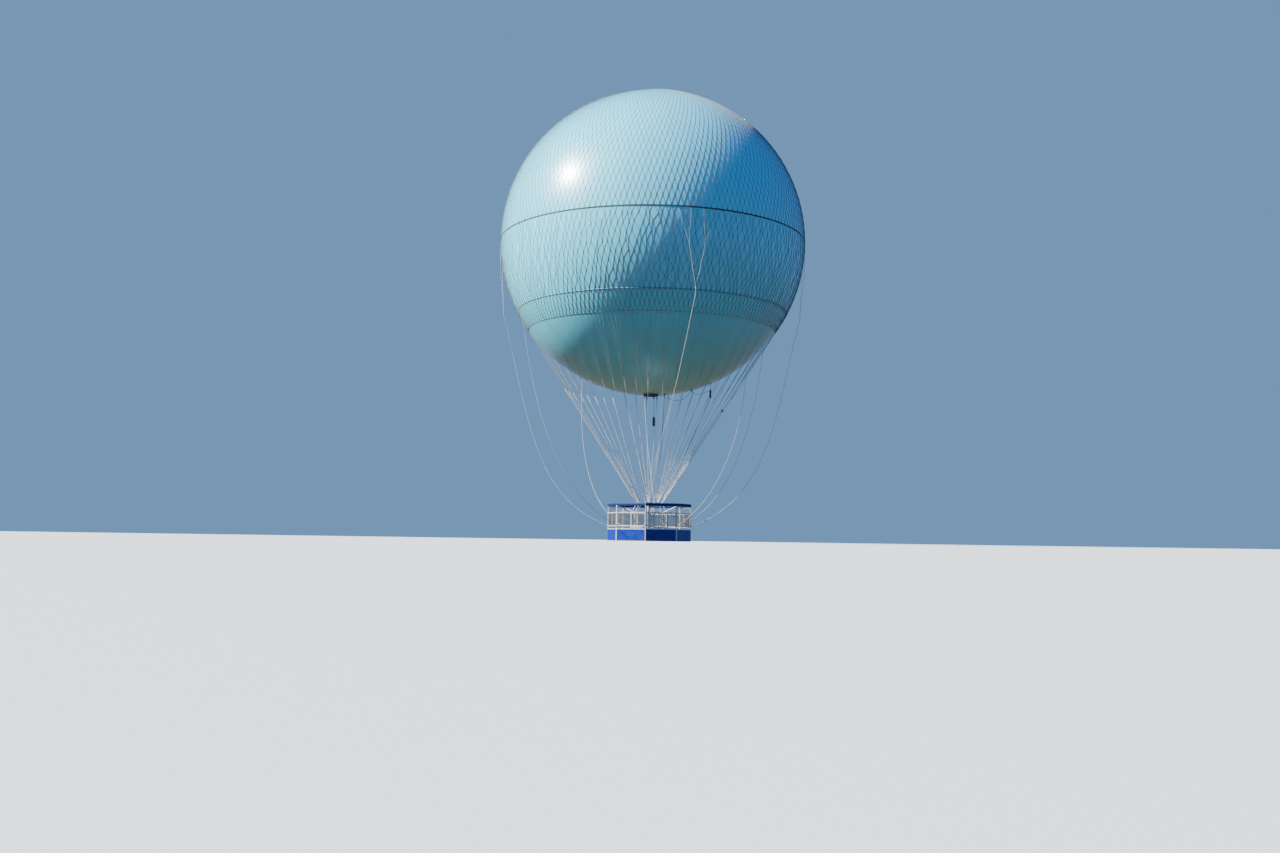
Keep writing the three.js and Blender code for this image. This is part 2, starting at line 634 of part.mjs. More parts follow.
// The same plate cut by a grid of openings inside its side bars and rails.
function grille(bay, from, to, bottom, top, offset, { thick, columns, rows, bar, side, rail }) {
  const wide = (to - from - 2 * side - (columns - 1) * bar) / columns;
  const tall = (top - bottom - 2 * rail - (rows - 1) * bar) / rows;
  let plate = solid(bayPlate(bay, from, to, bottom, top, offset, thick));
  for (let i = 0; i < columns; i += 1) {
    for (let j = 0; j < rows; j += 1) {
      const x = from + side + i * (wide + bar);
      const h = bottom + rail + j * (tall + bar);
      plate = plate.subtract(solid(bayPlate(bay, x, x + wide, h, h + tall, offset, 2 * thick)));
    }
  }
  return plate;
}

const bayPlane = inradius(GONDOLA.corner);
const bayHalf = GONDOLA.corner * Math.sin(radians(OCTAGON.step / 2));
const bayEnd = bayHalf - GONDOLA.post / 2 / Math.cos(radians(OCTAGON.step / 2))
  - PANEL.thick / 2 * Math.tan(radians(OCTAGON.step / 2)) - GAP;

function skirtPanel(bay) {
  return closed(bayPlate(bay, -bayEnd, bayEnd, SKIRT.bottom, SKIRT.top,
    bayPlane + GONDOLA.post / 2 + GAP + SKIRT.thick / 2, SKIRT.thick));
}

function meshPanel(bay) {
  const bottom = GONDOLA.barHeight - GONDOLA.rail / 2;
  const top = GONDOLA.railHeight + GONDOLA.rail / 2;
  return surface(grille(bay, -bayEnd, bayEnd, bottom, top, bayPlane, PANEL));
}

function inBay(bay, along, inward, height) {
  const a = radians(bayAzimuth(bay));
  const r = bayPlane - inward;
  return new THREE.Vector3(along * Math.cos(a) + r * Math.sin(a), along * Math.sin(a) - r * Math.cos(a),
    level(height));
}

const hingeAlong = -GATE.half - GATE.gap / 2;
const hingeInward = GATE.thick / 2 + GATE.knuckle + 2;

function gateSide(side) {
  const inner = GATE.half + GATE.gap;
  const ends = side < 0 ? [-bayEnd, -inner - 2] : [inner + 2, bayEnd];
  const post = side * (inner + GATE.post / 2);
  const bottom = GONDOLA.barHeight - GONDOLA.rail / 2;
  const top = GONDOLA.railHeight + GONDOLA.rail / 2;
  const low = inBay(GATE.bay, post, 0, GONDOLA.edgeTop + GAP);
  const high = inBay(GATE.bay, post, 0, top - 2);
  const pieces = [
    grille(GATE.bay, ends[0], ends[1], bottom, top, bayPlane, { ...PANEL, columns: 1 }),
    uprightBox(post, (low.z + high.z) / 2, high.z - low.z),
  ];
  if (side < 0) {
    GATE.knuckleHeights.forEach((height) => {
      const pinTop = height - GATE.knuckleLength / 2 - RUNNING_GAP;
      const armHeight = pinTop - GATE.pin / 2;
      pieces.push(rod(inBay(GATE.bay, hingeAlong, hingeInward, pinTop),
        inBay(GATE.bay, hingeAlong, hingeInward, pinTop - GATE.pin), GATE.knuckle, 8));
      pieces.push(rod(inBay(GATE.bay, hingeAlong, hingeInward, armHeight),
        inBay(GATE.bay, post, 10, armHeight), GATE.arm, 6));
    });
  }
  return joined(pieces);
}

function uprightBox(along, z, tall) {
  const geometry = new THREE.BoxGeometry(GATE.post, GATE.thick, tall);
  geometry.rotateZ(radians(bayAzimuth(GATE.bay)));
  const centre = inBay(GATE.bay, along, 0, 0);
  geometry.translate(centre.x, centre.y, z);
  return geometry;
}

function gate() {
  const pieces = [grille(GATE.bay, -GATE.half, GATE.half, GATE.bottom, GATE.top, bayPlane, GATE)];
  GATE.knuckleHeights.forEach((height) => {
    const half = GATE.knuckleLength / 2;
    pieces.push(rod(inBay(GATE.bay, hingeAlong, hingeInward, height - half),
      inBay(GATE.bay, hingeAlong, hingeInward, height + half), GATE.knuckle, 8));
    pieces.push(rod(inBay(GATE.bay, hingeAlong, hingeInward, height),
      inBay(GATE.bay, -GATE.half + GATE.side / 2, 10, height), GATE.arm, 6));
  });
  return joined(pieces);
}

add('envelope', envelope(), coatedCloth);
add('crown_plate', crownPlate(), paleSteel);
add('crown_valve', crownValve(), darkFitting);
add('base_ring', baseRing(), darkFitting);
add('base_valve', baseValve(), darkFitting);
add('valve_cord', valveCord(), darkFitting);
add('valve_cord_weight', valveWeight(), darkFitting);
add('cable_clamp', cableClamp(), webbing);
add('cable_box', cableBox(), darkFitting);
add('sensor_cable', sensorCable(), darkFitting);
add('equator_belt', equatorBelt(), webbing);
add('lower_band', lowerBand(), webbing);
for (let i = 0; i < ROPE.groups; i += 1) add(`suspension_ropes_${i + 1}`, suspensionRopes(i), cordage);
for (let i = 0; i < OCTAGON.corners; i += 1) add(`handling_line_${i + 1}`, handlingLine(i), cordage);
add('load_ring', loadRing(), paleSteel);
add('gimbal_cross', gimbalCross(), machined);
add('tether_fork', tetherFork(), machined);
add('tether', tether(), machined);
add('outer_frame', outerFrame(), paleSteel);
add('top_pad', topPad(), bluePad);
add('deck', deck(), deckPlate);
add('floor_frame', floorFrame(), paleSteel);
add('inner_frame', innerFrame(), paleSteel);
for (let i = 0; i < OCTAGON.corners; i += 1) add(`skirt_panel_${i + 1}`, skirtPanel(i), bluePaint);
for (let i = 1; i < OCTAGON.corners; i += 1) add(`mesh_panel_${i + 1}`, meshPanel(i), paleSteel);
add('gate_side_left', gateSide(-1), paleSteel);
add('gate_side_right', gateSide(1), paleSteel);
add('gate', gate(), paleSteel);

export default balloon;
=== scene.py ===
# Tethered passenger balloon: envelope with its net and belts, suspension ropes, handling lines,
# load ring and ring gondola. Metres, +Z up, origin at the envelope's centre, boarding side at -Y.
import math
import random

import bmesh
import bpy
from mathutils import Matrix, Vector


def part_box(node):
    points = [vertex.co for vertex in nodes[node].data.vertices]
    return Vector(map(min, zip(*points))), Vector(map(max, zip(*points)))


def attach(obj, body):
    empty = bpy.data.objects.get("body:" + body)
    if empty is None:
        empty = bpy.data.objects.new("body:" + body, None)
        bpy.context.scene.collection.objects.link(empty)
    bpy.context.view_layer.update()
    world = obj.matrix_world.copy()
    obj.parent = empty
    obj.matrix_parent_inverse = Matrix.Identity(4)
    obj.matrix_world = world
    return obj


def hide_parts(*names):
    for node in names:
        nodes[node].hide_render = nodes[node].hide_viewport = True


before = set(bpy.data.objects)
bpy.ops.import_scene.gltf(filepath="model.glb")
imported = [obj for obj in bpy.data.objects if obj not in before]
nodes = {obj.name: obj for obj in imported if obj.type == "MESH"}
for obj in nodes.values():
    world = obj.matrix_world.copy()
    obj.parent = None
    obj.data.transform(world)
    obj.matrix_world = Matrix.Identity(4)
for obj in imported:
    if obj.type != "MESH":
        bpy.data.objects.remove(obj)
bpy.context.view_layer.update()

# Sizes shared with the solids. Azimuths and latitudes are in degrees; SEAT is the gap under a seated piece.
CENTRE_HEIGHT = 21.8
ENVELOPE_RADIUS = 11.15
ENVELOPE_WALL = 0.010
MOUTH_RADIUS = 0.48
CROWN_RADIUS = 0.70
SEAT = 0.0003
HALF_BAY = math.radians(22.5)
CORNER_AZIMUTHS = [-5 + 45 * i for i in range(8)]
BAY_AZIMUTHS = [17.5 + 45 * i for i in range(8)]
CORNER_RADIUS = 2.99
BAY_PLANE = CORNER_RADIUS * math.cos(HALF_BAY)

# Gores of the cloth and the azimuth of their first seam; steps round anything turned.
GORES = 45
FIRST_GORE = -1
ROUND_STEPS = 192

# Guard mesh: half widths and levels of its fields, pitch and radius of its wires.
PANEL_HALF = 1.09
MESH_LEVELS = (1.105, 1.965)
GATE_HALF = 0.452
GATE_POST_HALF = 0.502
GATE_BOTTOM = 0.970
WIRE_PITCH = 0.025
WIRE_RADIUS = 0.0026

# Belt by its levels from the centre, lower band by its latitudes; THICK is measured off the envelope.
BELT_TOP = -0.005
BELT_BOTTOM = -0.095
BELT_THICK = 0.0165
BELT_EDGE_THICK = 0.019
LOWER_BAND = (-27.8, -28.2)
LOWER_BAND_THICK = 0.011
TOGGLES = (-27.3, -28.7)
TOGGLE_PROUD = 0.014
TOGGLE_RADIUS = 0.012

# Net: latitudes of its lower end and of each row, and radii; PROUD is the distance off the envelope.
NET_MESHES = 180
NET_BOTTOM = -36.20
NET_STEP = 3.05
NET_ROWS = 39
NET_PROUD = 0.007
NET_CORD = 0.0100
END_ROPE_PROUD = 0.0075
END_ROPE = 0.008
NET_KNOT = 0.016
NET_KNOT_HALF = 0.050
# It hangs slack between these latitudes; its crossings stray by so many degrees there and elsewhere.
SLACK_BAND = (-30, -1.5)
SLACK_STRAY = 0.62
TIGHT_STRAY = 0.05

# Suspension ropes: azimuths of their groups and ropes, then heights and radii. Shares are of a rope's length.
ROPE_GROUPS = 9
ROPES_PER_GROUP = 5
ROPE_SPREAD = 8.0
FIRST_GROUP = -17.0
LOAD_RING_RADIUS = 1.0
ROPE_FOOT = 2.83
ROPE_FOOT_PITCH = 0.022
SPLICE_HEIGHT = 10.6
SLEEVE_SHARES = (0.018, 0.033)
SLEEVE_RADIUS = 0.022
FOOT_WRAP_SHARES = (0.004, 0.045)
FOOT_WRAP_RADIUS = 0.013
ROPE_TRACK = ENVELOPE_RADIUS + 0.013
ROPE_RADIUS = 0.010
ROPE_LEG_RADIUS = 0.0055
ROPE_LEG_PROUD = 0.009
# The rope with a strap round it: its group's azimuth and its number in the group.
WRAPPED_ROPE = (63.0, 4)

# Each handling line: how far its knot hangs round from its post, how far its belly sways
# the same way, both in degrees, its knot's height, and its length.
LINES = [
    (20, 3, 16.45, 18.27), (-9, 8, 18.40, 20.10), (7, 2, 16.80, 18.36), (-6, -4, 17.50, 19.00),
    (8, 3, 16.60, 18.20), (-11, 2, 17.20, 18.82), (5, -3, 16.90, 18.49), (-8, -5, 17.80, 19.30),
]
# Route of a handling line from its knot down: radius, and share of the drop left.
LINE_ROUTE = [
    (10.930, 1.0), (10.930, 0.985), (10.700, 0.921), (10.480, 0.863), (10.250, 0.799),
    (10.000, 0.729), (9.750, 0.658), (9.480, 0.588), (9.200, 0.521), (8.890, 0.454),
    (8.550, 0.390), (8.160, 0.327), (7.720, 0.267), (7.210, 0.212), (6.610, 0.159),
    (5.930, 0.112), (5.160, 0.071), (4.360, 0.038), (3.620, 0.014), (3.0756, 0.0),
]
# Height of its lower end, and the shares between which it goes round from its post to its knot.
LINE_FOOT = 1.112
LINE_BEND = (0.014, 0.985)
LINE_DIAMETER = 0.026

# Bridles: knot where a line begins, split knots to each side of it, legs to tabs on the belt.
KNOT_RADIUS = 10.930
KNOT_TALL = 0.1194
TAB_HEIGHT = 21.69
BRIDLE_SPLIT = 0.46
BRIDLE_SPREAD = 2.8
SPLIT_PROUD = 0.015
BRIDLE_RADIUS = 0.010
SPLIT_KNOT = (0.045, 0.035, 0.06)
LEG_SPREADS = (2.2, 6.6)
LEG_RADIUS = 0.0065
LEG_PROUD = 0.034
TAB_PROUD = 0.024
TAB_SIZE = (0.07, 0.028, 0.09)

# Valve cord: hangs straight from below the base valve.
VALVE_CORD_TOP = (0.240, 0.0, -11.2747)
VALVE_CORD_LENGTH = 1.48
VALVE_CORD_DIAMETER = 0.022

# Cable in two bights from the mouth to its box: distance from the axis, height.
CABLE_AZIMUTH = 91
CABLE_ROUTE = [
    (0.5603, 10.604), (0.640, 10.604), (0.760, 10.583), (0.930, 10.530), (1.110, 10.462),
    (1.300, 10.383), (1.480, 10.322), (1.680, 10.283), (1.880, 10.272), (2.080, 10.293),
    (2.270, 10.353), (2.450, 10.441), (2.620, 10.565), (2.745, 10.700), (2.840, 10.833),
    (2.915, 10.910), (2.990, 10.925), (3.090, 10.872), (3.250, 10.796), (3.460, 10.752),
    (3.690, 10.792), (3.905, 10.880), (4.080, 10.965), (4.190, 10.995), (4.2897, 10.995),
]
CABLE_DIAMETER = 0.024
CABLE_BOX = 4.355

# Camera: place, turns in radians, focal length in points of a frame this many points wide.
CAMERA_PLACE = (0, -89.34, -21.74)
CAMERA_TURN = 0.00847
CAMERA_LIFT = 0.09219
CAMERA_ROLL = 0.01421
FRAME_WIDTH = 1280
FOCAL_LENGTH = 1230

SUN_TOWARD = (-0.766, -0.205, 0.608)
SUN_ENERGY = 14.2


# Places: azimuth from the boarding side, radius from the axis, height above the floor.
def place(azimuth, radius, height):
    turn = math.radians(azimuth)
    return Vector((radius * math.sin(turn), -radius * math.cos(turn), height - CENTRE_HEIGHT))


def on_sphere(azimuth, latitude, radius):
    turn = math.radians(azimuth)
    lift = math.radians(latitude)
    flat = radius * math.cos(lift)
    return Vector((flat * math.sin(turn), -flat * math.cos(turn), radius * math.sin(lift)))


def in_bay(bay, along, inward, height):
    turn = math.radians(BAY_AZIMUTHS[bay])
    reach = BAY_PLANE - inward
    return Vector((
        along * math.cos(turn) + reach * math.sin(turn),
        along * math.sin(turn) - reach * math.cos(turn),
        height - CENTRE_HEIGHT,
    ))


# Shader building.
def add_node(tree, kind, **settings):
    made = tree.nodes.new(kind)
    for name, value in settings.items():
        setattr(made, name, value)
    return made


def arithmetic(tree, operation, *values):
    made = add_node(tree, "ShaderNodeMath", operation=operation)
    for socket, value in zip(made.inputs, values):
        if isinstance(value, (int, float)):
            socket.default_value = value
        else:
            tree.links.new(value, socket)
    return made.outputs[0]


def noise(tree, vector, scale, detail=3.0):
    made = add_node(tree, "ShaderNodeTexNoise")
    made.inputs["Scale"].default_value = scale
    made.inputs["Detail"].default_value = detail
    made.inputs["Roughness"].default_value = 0.55
    tree.links.new(vector, made.inputs["Vector"])
    return made.outputs["Fac"]


def ramp(tree, factor, low, high, start=0.0, end=1.0):
    made = add_node(tree, "ShaderNodeMapRange", clamp=True)
    made.inputs["From Min"].default_value = low
    made.inputs["From Max"].default_value = high
    made.inputs["To Min"].default_value = start
    made.inputs["To Max"].default_value = end
    tree.links.new(factor, made.inputs["Value"])
    return made.outputs["Result"]


def blend_colours(tree, factor, first, second):
    made = add_node(tree, "ShaderNodeMix", data_type="RGBA")
    tree.links.new(factor, made.inputs[0])
    for socket, value in ((made.inputs[6], first), (made.inputs[7], second)):
        if isinstance(value, tuple):
            socket.default_value = (*value, 1.0)
        else:
            tree.links.new(value, socket)
    return made.outputs[2]


def object_place(tree):
    return add_node(tree, "ShaderNodeTexCoord").outputs["Object"]


def split(tree, vector):
    made = add_node(tree, "ShaderNodeSeparateXYZ")
    tree.links.new(vector, made.inputs[0])
    return made.outputs


def finish_with(name, roughness=0.5, metallic=0.0, coat=0.0, sheen=0.0):
    material = bpy.data.materials.new(name)
    material.use_nodes = True
    tree = material.node_tree
    shader = tree.nodes["Principled BSDF"]
    shader.inputs["Roughness"].default_value = roughness
    shader.inputs["Metallic"].default_value = metallic
    shader.inputs["Coat Weight"].default_value = coat
    shader.inputs["Sheen Weight"].default_value = sheen
    return material, tree, shader


def raise_surface(tree, shader, height, strength, distance):
    bump = add_node(tree, "ShaderNodeBump")
    bump.inputs["Strength"].default_value = strength
    bump.inputs["Distance"].default_value = distance
    tree.links.new(height, bump.inputs["Height"])
    tree.links.new(bump.outputs["Normal"], shader.inputs["Normal"])


def new_group(name, numbers, colours, outputs):
    group = bpy.data.node_groups.new(name, "ShaderNodeTree")
    for label, value in numbers:
        socket = group.interface.new_socket(label, in_out="INPUT", socket_type="NodeSocketFloat")
        socket.default_value = value
    for label, value in colours:
        socket = group.interface.new_socket(label, in_out="INPUT", socket_type="NodeSocketColor")
        socket.default_value = (*value, 1.0)
    for label, kind in outputs:
        group.interface.new_socket(label, in_out="OUTPUT", socket_type=kind)
    return group, add_node(group, "NodeGroupInput").outputs, add_node(group, "NodeGroupOutput").inputs


def use_group(tree, group, **values):
    made = add_node(tree, "ShaderNodeGroup", node_tree=group)
    for label, value in values.items():
        socket = made.inputs[label.replace("_", " ")]
        if isinstance(value, tuple):
            socket.default_value = (*value, 1.0)
        else:
            socket.default_value = value
    return made.outputs


# Blotches, streaks that run down, and a light dust, as colour and height.
def weathering_group():
    group, given, out = new_group(
        "weathering",
        [("Scale", 4.0), ("Amount", 0.4)],
        [("Clean", (0.6, 0.6, 0.6)), ("Worn", (0.4, 0.4, 0.4))],
        [("Colour", "NodeSocketColor"), ("Mask", "NodeSocketFloat"), ("Height", "NodeSocketFloat")],
    )
    where = object_place(group)
    blotch = add_node(group, "ShaderNodeTexNoise")
    blotch.inputs["Detail"].default_value = 5.0
    group.links.new(where, blotch.inputs["Vector"])
    group.links.new(given["Scale"], blotch.inputs["Scale"])
    stretch = add_node(group, "ShaderNodeMapping")
    stretch.inputs["Scale"].default_value = (3.0, 3.0, 0.25)
    group.links.new(where, stretch.inputs["Vector"])
    streak = add_node(group, "ShaderNodeTexNoise")
    streak.inputs["Detail"].default_value = 3.0
    group.links.new(stretch.outputs[0], streak.inputs["Vector"])
    group.links.new(given["Scale"], streak.inputs["Scale"])
    both = arithmetic(group, "ADD", blotch.outputs["Fac"], streak.outputs["Fac"])
    mask = arithmetic(group, "MULTIPLY", ramp(group, both, 0.85, 1.3), given["Amount"])
    group.links.new(blend_colours(group, mask, given["Clean"], given["Worn"]), out["Colour"])
    group.links.new(mask, out["Mask"])
    group.links.new(blotch.outputs["Fac"], out["Height"])
    return group


# Two crossed sets of threads.
def weave_group():
    group, given, out = new_group("weave", [("Threads", 400.0)], [], [("Height", "NodeSocketFloat")])
    x, y, z = split(group, object_place(group))
    warp = arithmetic(group, "SINE", arithmetic(group, "MULTIPLY", z, given["Threads"]))
    slant = arithmetic(group, "ADD", x, y)
    weft = arithmetic(group, "SINE", arithmetic(group, "MULTIPLY", slant, given["Threads"]))
    group.links.new(arithmetic(group, "MULTIPLY", warp, weft), out["Height"])
    return group


weathering = weathering_group()
weave = weave_group()


# Envelope cloth: gores with taped seams, level seams by latitude and half width, each gore of a slightly
# different tone.
LEVEL_SEAMS = [(-37.0, 0.12), (53.0, 0.12), (40.0, 0.08), (-60.0, 0.1), (20.0, 0.06)]


def coated_cloth_finish():
    material, tree, shader = finish_with("coated_cloth", roughness=0.34, coat=0.85)
    shader.inputs["Coat Roughness"].default_value = 0.25
    where = object_place(tree)
    x, y, z = split(tree, where)
    round_axis = arithmetic(tree, "ARCTAN2", x, arithmetic(tree, "MULTIPLY", y, -1.0))
    turn = arithmetic(tree, "DIVIDE", round_axis, 2 * math.pi)
    start = 1.0 - FIRST_GORE / 360
    gore = arithmetic(tree, "MULTIPLY", arithmetic(tree, "ADD", turn, start), float(GORES))
    from_middle = arithmetic(tree, "SUBTRACT", arithmetic(tree, "FRACT", gore), 0.5)
    across = arithmetic(tree, "ABSOLUTE", from_middle)
    reach = add_node(tree, "ShaderNodeVectorMath", operation="LENGTH")
    tree.links.new(where, reach.inputs[0])
    level = arithmetic(tree, "DIVIDE", z, reach.outputs["Value"])
    squared = arithmetic(tree, "MULTIPLY", level, level)
    flat = arithmetic(tree, "SQRT", arithmetic(tree, "SUBTRACT", 1.0, squared))
    width = arithmetic(tree, "MULTIPLY", arithmetic(tree, "SUBTRACT", 0.5, across), flat)
    seam = ramp(tree, width, 0.010, 0.022, 1.0, 0.0)
    latitude = arithmetic(tree, "MULTIPLY", arithmetic(tree, "ARCSINE", level), 180 / math.pi)
    for degrees, half in LEVEL_SEAMS:
        near = arithmetic(tree, "ABSOLUTE", arithmetic(tree, "SUBTRACT", latitude, degrees))
        seam = arithmetic(tree, "MAXIMUM", seam, ramp(tree, near, half, 2 * half, 0.8, 0.0))
    tone = add_node(tree, "ShaderNodeTexWhiteNoise", noise_dimensions="1D")
    tree.links.new(arithmetic(tree, "FLOOR", gore), tone.inputs["W"])
    tinted = blend_colours(tree, tone.outputs["Value"], (0.134, 0.78, 1.0), (0.154, 0.81, 1.0))
    soiled = use_group(tree, weathering, Scale=0.35, Amount=0.35)
    dusty = blend_colours(tree, soiled["Mask"], tinted, (0.129, 0.685, 0.89))
    colour = blend_colours(tree, arithmetic(tree, "MULTIPLY", seam, 0.35), dusty, (0.12, 0.45, 0.58))
    tree.links.new(colour, shader.inputs["Base Color"])
    gloss = ramp(tree, noise(tree, where, 1.4), 0.3, 0.7, 0.30, 0.40)
    tree.links.new(gloss, shader.inputs["Roughness"])
    pillow = arithmetic(tree, "MULTIPLY", across, across)
    cloth = arithmetic(tree, "MULTIPLY", noise(tree, where, 9.0), 0.02)
    swell = arithmetic(tree, "ADD", arithmetic(tree, "MULTIPLY", pillow, -0.05), cloth)
    raise_surface(tree, shader, swell, 0.4, 0.3)
    return material


# Thin cord, too fine for its strands to show.
def net_cord_finish(name, clean, worn):
    material, tree, shader = finish_with(name, roughness=0.85)
    where = object_place(tree)
    colour = blend_colours(tree, ramp(tree, noise(tree, where, 3.0), 0.3, 0.7), clean, worn)
    tree.links.new(colour, shader.inputs["Base Color"])
    raise_surface(tree, shader, noise(tree, where, 260.0), 0.5, 0.002)
    return material


# Woven webbing and sleeves.
def cloth_band_finish(name, clean, worn):
    material, tree, shader = finish_with(name, roughness=0.8, sheen=0.15)
    soiled = use_group(tree, weathering, Scale=1.5, Amount=0.7, Clean=clean, Worn=worn)
    tree.links.new(soiled["Colour"], shader.inputs["Base Color"])
    threads = use_group(tree, weave, Threads=900.0)
    raise_surface(tree, shader, threads["Height"], 0.4, 0.001)
    return material


# Laid rope: strands cross the tube at a slant, on the tube's own length and round coordinates.
def rope_finish(name, pale, dark):
    strands, turns = 3.0, 60.0
    material, tree, shader = finish_with(name, roughness=0.85)
    u, v = split(tree, add_node(tree, "ShaderNodeTexCoord").outputs["UV"])[:2]
    along = arithmetic(tree, "MULTIPLY", u, turns)
    slant = arithmetic(tree, "ADD", along, arithmetic(tree, "MULTIPLY", v, strands))
    lay = arithmetic(tree, "ABSOLUTE", arithmetic(tree, "SINE", arithmetic(tree, "MULTIPLY", slant, math.pi)))
    soiled = use_group(tree, weathering, Scale=1.2, Amount=0.6, Clean=pale, Worn=dark)
    # Darker in the grooves between strands: painted shade, blended towards the worn colour.
    shaded = arithmetic(tree, "MULTIPLY", arithmetic(tree, "SUBTRACT", 1.0, lay), 0.6)
    tree.links.new(blend_colours(tree, shaded, soiled["Colour"], dark), shader.inputs["Base Color"])
    raise_surface(tree, shader, lay, 0.6, 0.003)
    return material


# Hot-dip galvanised steel: spangle cells, dull patches and faint drips.
def galvanised_finish():
    material, tree, shader = finish_with("galvanised_steel", roughness=0.45, metallic=0.35)
    where = object_place(tree)
    cells = add_node(tree, "ShaderNodeTexVoronoi")
    cells.inputs["Scale"].default_value = 60.0
    tree.links.new(where, cells.inputs["Vector"])
    spangle = add_node(tree, "ShaderNodeRGBToBW")
    tree.links.new(cells.outputs["Color"], spangle.inputs[0])
    soiled = use_group(tree, weathering, Scale=3.0, Amount=0.7, Clean=(0.63, 0.625, 0.595),
                       Worn=(0.41, 0.41, 0.395))
    colour = blend_colours(tree, arithmetic(tree, "MULTIPLY", spangle.outputs[0], 0.25), soiled["Colour"],
                           (0.74, 0.76, 0.78))
    tree.links.new(colour, shader.inputs["Base Color"])
    tree.links.new(ramp(tree, spangle.outputs[0], 0.2, 0.8, 0.38, 0.55), shader.inputs["Roughness"])
    raise_surface(tree, shader, soiled["Height"], 0.3, 0.002)
    return material


# Painted or sheathed: soiled in patches, duller where it is worn, with a fine orange peel.
def painted_finish(name, clean, worn, roughness, metallic=0.0, coat=0.0, specular=0.5):
    material, tree, shader = finish_with(name, roughness=roughness, metallic=metallic, coat=coat)
    shader.inputs["Specular IOR Level"].default_value = specular
    where = object_place(tree)
    soiled = use_group(tree, weathering, Scale=5.0, Amount=0.6, Clean=clean, Worn=worn)
    tree.links.new(soiled["Colour"], shader.inputs["Base Color"])
    tree.links.new(ramp(tree, soiled["Mask"], 0.0, 0.6, roughness, min(roughness + 0.25, 1.0)),
                   shader.inputs["Roughness"])
    raise_surface(tree, shader, noise(tree, where, 220.0, 2.0), 0.15, 0.001)
    return material


# Coated cover over foam: fine grain, lighter along its top as painted sunlight.
def pad_cover_finish():
    material, tree, shader = finish_with("pad_cover", roughness=0.6)
    shader.inputs["Specular IOR Level"].default_value = 0.2
    where = object_place(tree)
    z = split(tree, where)[2]
    grain = add_node(tree, "ShaderNodeTexVoronoi", feature="DISTANCE_TO_EDGE")
    grain.inputs["Scale"].default_value = 240.0
    tree.links.new(where, grain.inputs["Vector"])
    patchy = arithmetic(tree, "MULTIPLY", noise(tree, where, 3.0), 0.03)
    # Lighter towards the top edge by height: painted sunlight on the upper curve.
    painted_sunlit_top = ramp(tree, arithmetic(tree, "ADD", z, patchy), -19.17, -19.095)
    cover = blend_colours(tree, painted_sunlit_top, (0.004, 0.013, 0.075), (0.010, 0.062, 0.29))
    soiled = use_group(tree, weathering, Scale=4.0, Amount=0.5)
    colour = blend_colours(tree, soiled["Mask"], cover, (0.010, 0.04, 0.16))
    tree.links.new(colour, shader.inputs["Base Color"])
    raise_surface(tree, shader, ramp(tree, grain.outputs["Distance"], 0.0, 0.05), 0.3, 0.001)
    return material


# Ribbed aluminium planks: fine ribs, a joint beside each plank, and scuffs.
def deck_finish():
    rib, plank = 0.02, 0.25
    material, tree, shader = finish_with("deck_plank", roughness=0.5, metallic=0.7)
    where = object_place(tree)
    x = split(tree, where)[0]
    ribs = arithmetic(tree, "SINE", arithmetic(tree, "MULTIPLY", x, 2 * math.pi / rib))
    joint = ramp(tree, arithmetic(tree, "FRACT", arithmetic(tree, "DIVIDE", x, plank)), 0.0, 0.02)
    soiled = use_group(tree, weathering, Scale=2.5, Amount=0.8, Clean=(0.55, 0.56, 0.57),
                       Worn=(0.30, 0.29, 0.28))
    gap = arithmetic(tree, "SUBTRACT", 1.0, joint)
    colour = blend_colours(tree, gap, soiled["Colour"], (0.08, 0.08, 0.08))
    tree.links.new(colour, shader.inputs["Base Color"])
    tree.links.new(ramp(tree, soiled["Mask"], 0.0, 0.8, 0.42, 0.7), shader.inputs["Roughness"])
    raise_surface(tree, shader, arithmetic(tree, "MULTIPLY", ribs, joint), 0.5, 0.002)
    return material


# Turned steel under a film of oil.
def machined_finish():
    material, tree, shader = finish_with("machined_steel", roughness=0.3, metallic=0.9)
    where = object_place(tree)
    stretch = add_node(tree, "ShaderNodeMapping")
    stretch.inputs["Scale"].default_value = (1.0, 1.0, 40.0)
    tree.links.new(where, stretch.inputs["Vector"])
    lines = noise(tree, stretch.outputs[0], 30.0, 2.0)
    oiled = noise(tree, where, 8.0)
    colour = blend_colours(tree, ramp(tree, oiled, 0.35, 0.7), (0.55, 0.57, 0.59), (0.36, 0.35, 0.33))
    tree.links.new(colour, shader.inputs["Base Color"])
    tree.links.new(ramp(tree, lines, 0.3, 0.7, 0.22, 0.42), shader.inputs["Roughness"])
    raise_surface(tree, shader, lines, 0.2, 0.0006)
    return material


coated_cloth = coated_cloth_finish()
net_cord = net_cord_finish("net_cord", (0.13, 0.122, 0.12), (0.205, 0.185, 0.178))
# Knots are the net's own cord, coloured darker: painted shade in and beside the knots.
shaded_knot_cord = net_cord_finish("shaded_knot_cord", (0.06, 0.065, 0.07), (0.10, 0.105, 0.105))
dark_webbing = cloth_band_finish("dark_webbing", (0.035, 0.050, 0.060), (0.08, 0.09, 0.10))
sea_webbing = cloth_band_finish("sea_webbing", (0.11, 0.46, 0.60), (0.12, 0.36, 0.46))
white_rope = rope_finish("white_rope", (0.66, 0.63, 0.56), (0.38, 0.35, 0.30))
leg_cord = rope_finish("leg_cord", (0.38, 0.41, 0.40), (0.22, 0.24, 0.24))
pale_sleeve = cloth_band_finish("pale_sleeve", (0.62, 0.60, 0.53), (0.45, 0.42, 0.36))
galvanised = galvanised_finish()
blue_paint = painted_finish("blue_paint", (0.0005, 0.020, 0.27), (0.002, 0.026, 0.19), 0.33, specular=0.35)
dark_paint = painted_finish("dark_paint", (0.035, 0.04, 0.045), (0.10, 0.10, 0.10), 0.45, coat=0.1)
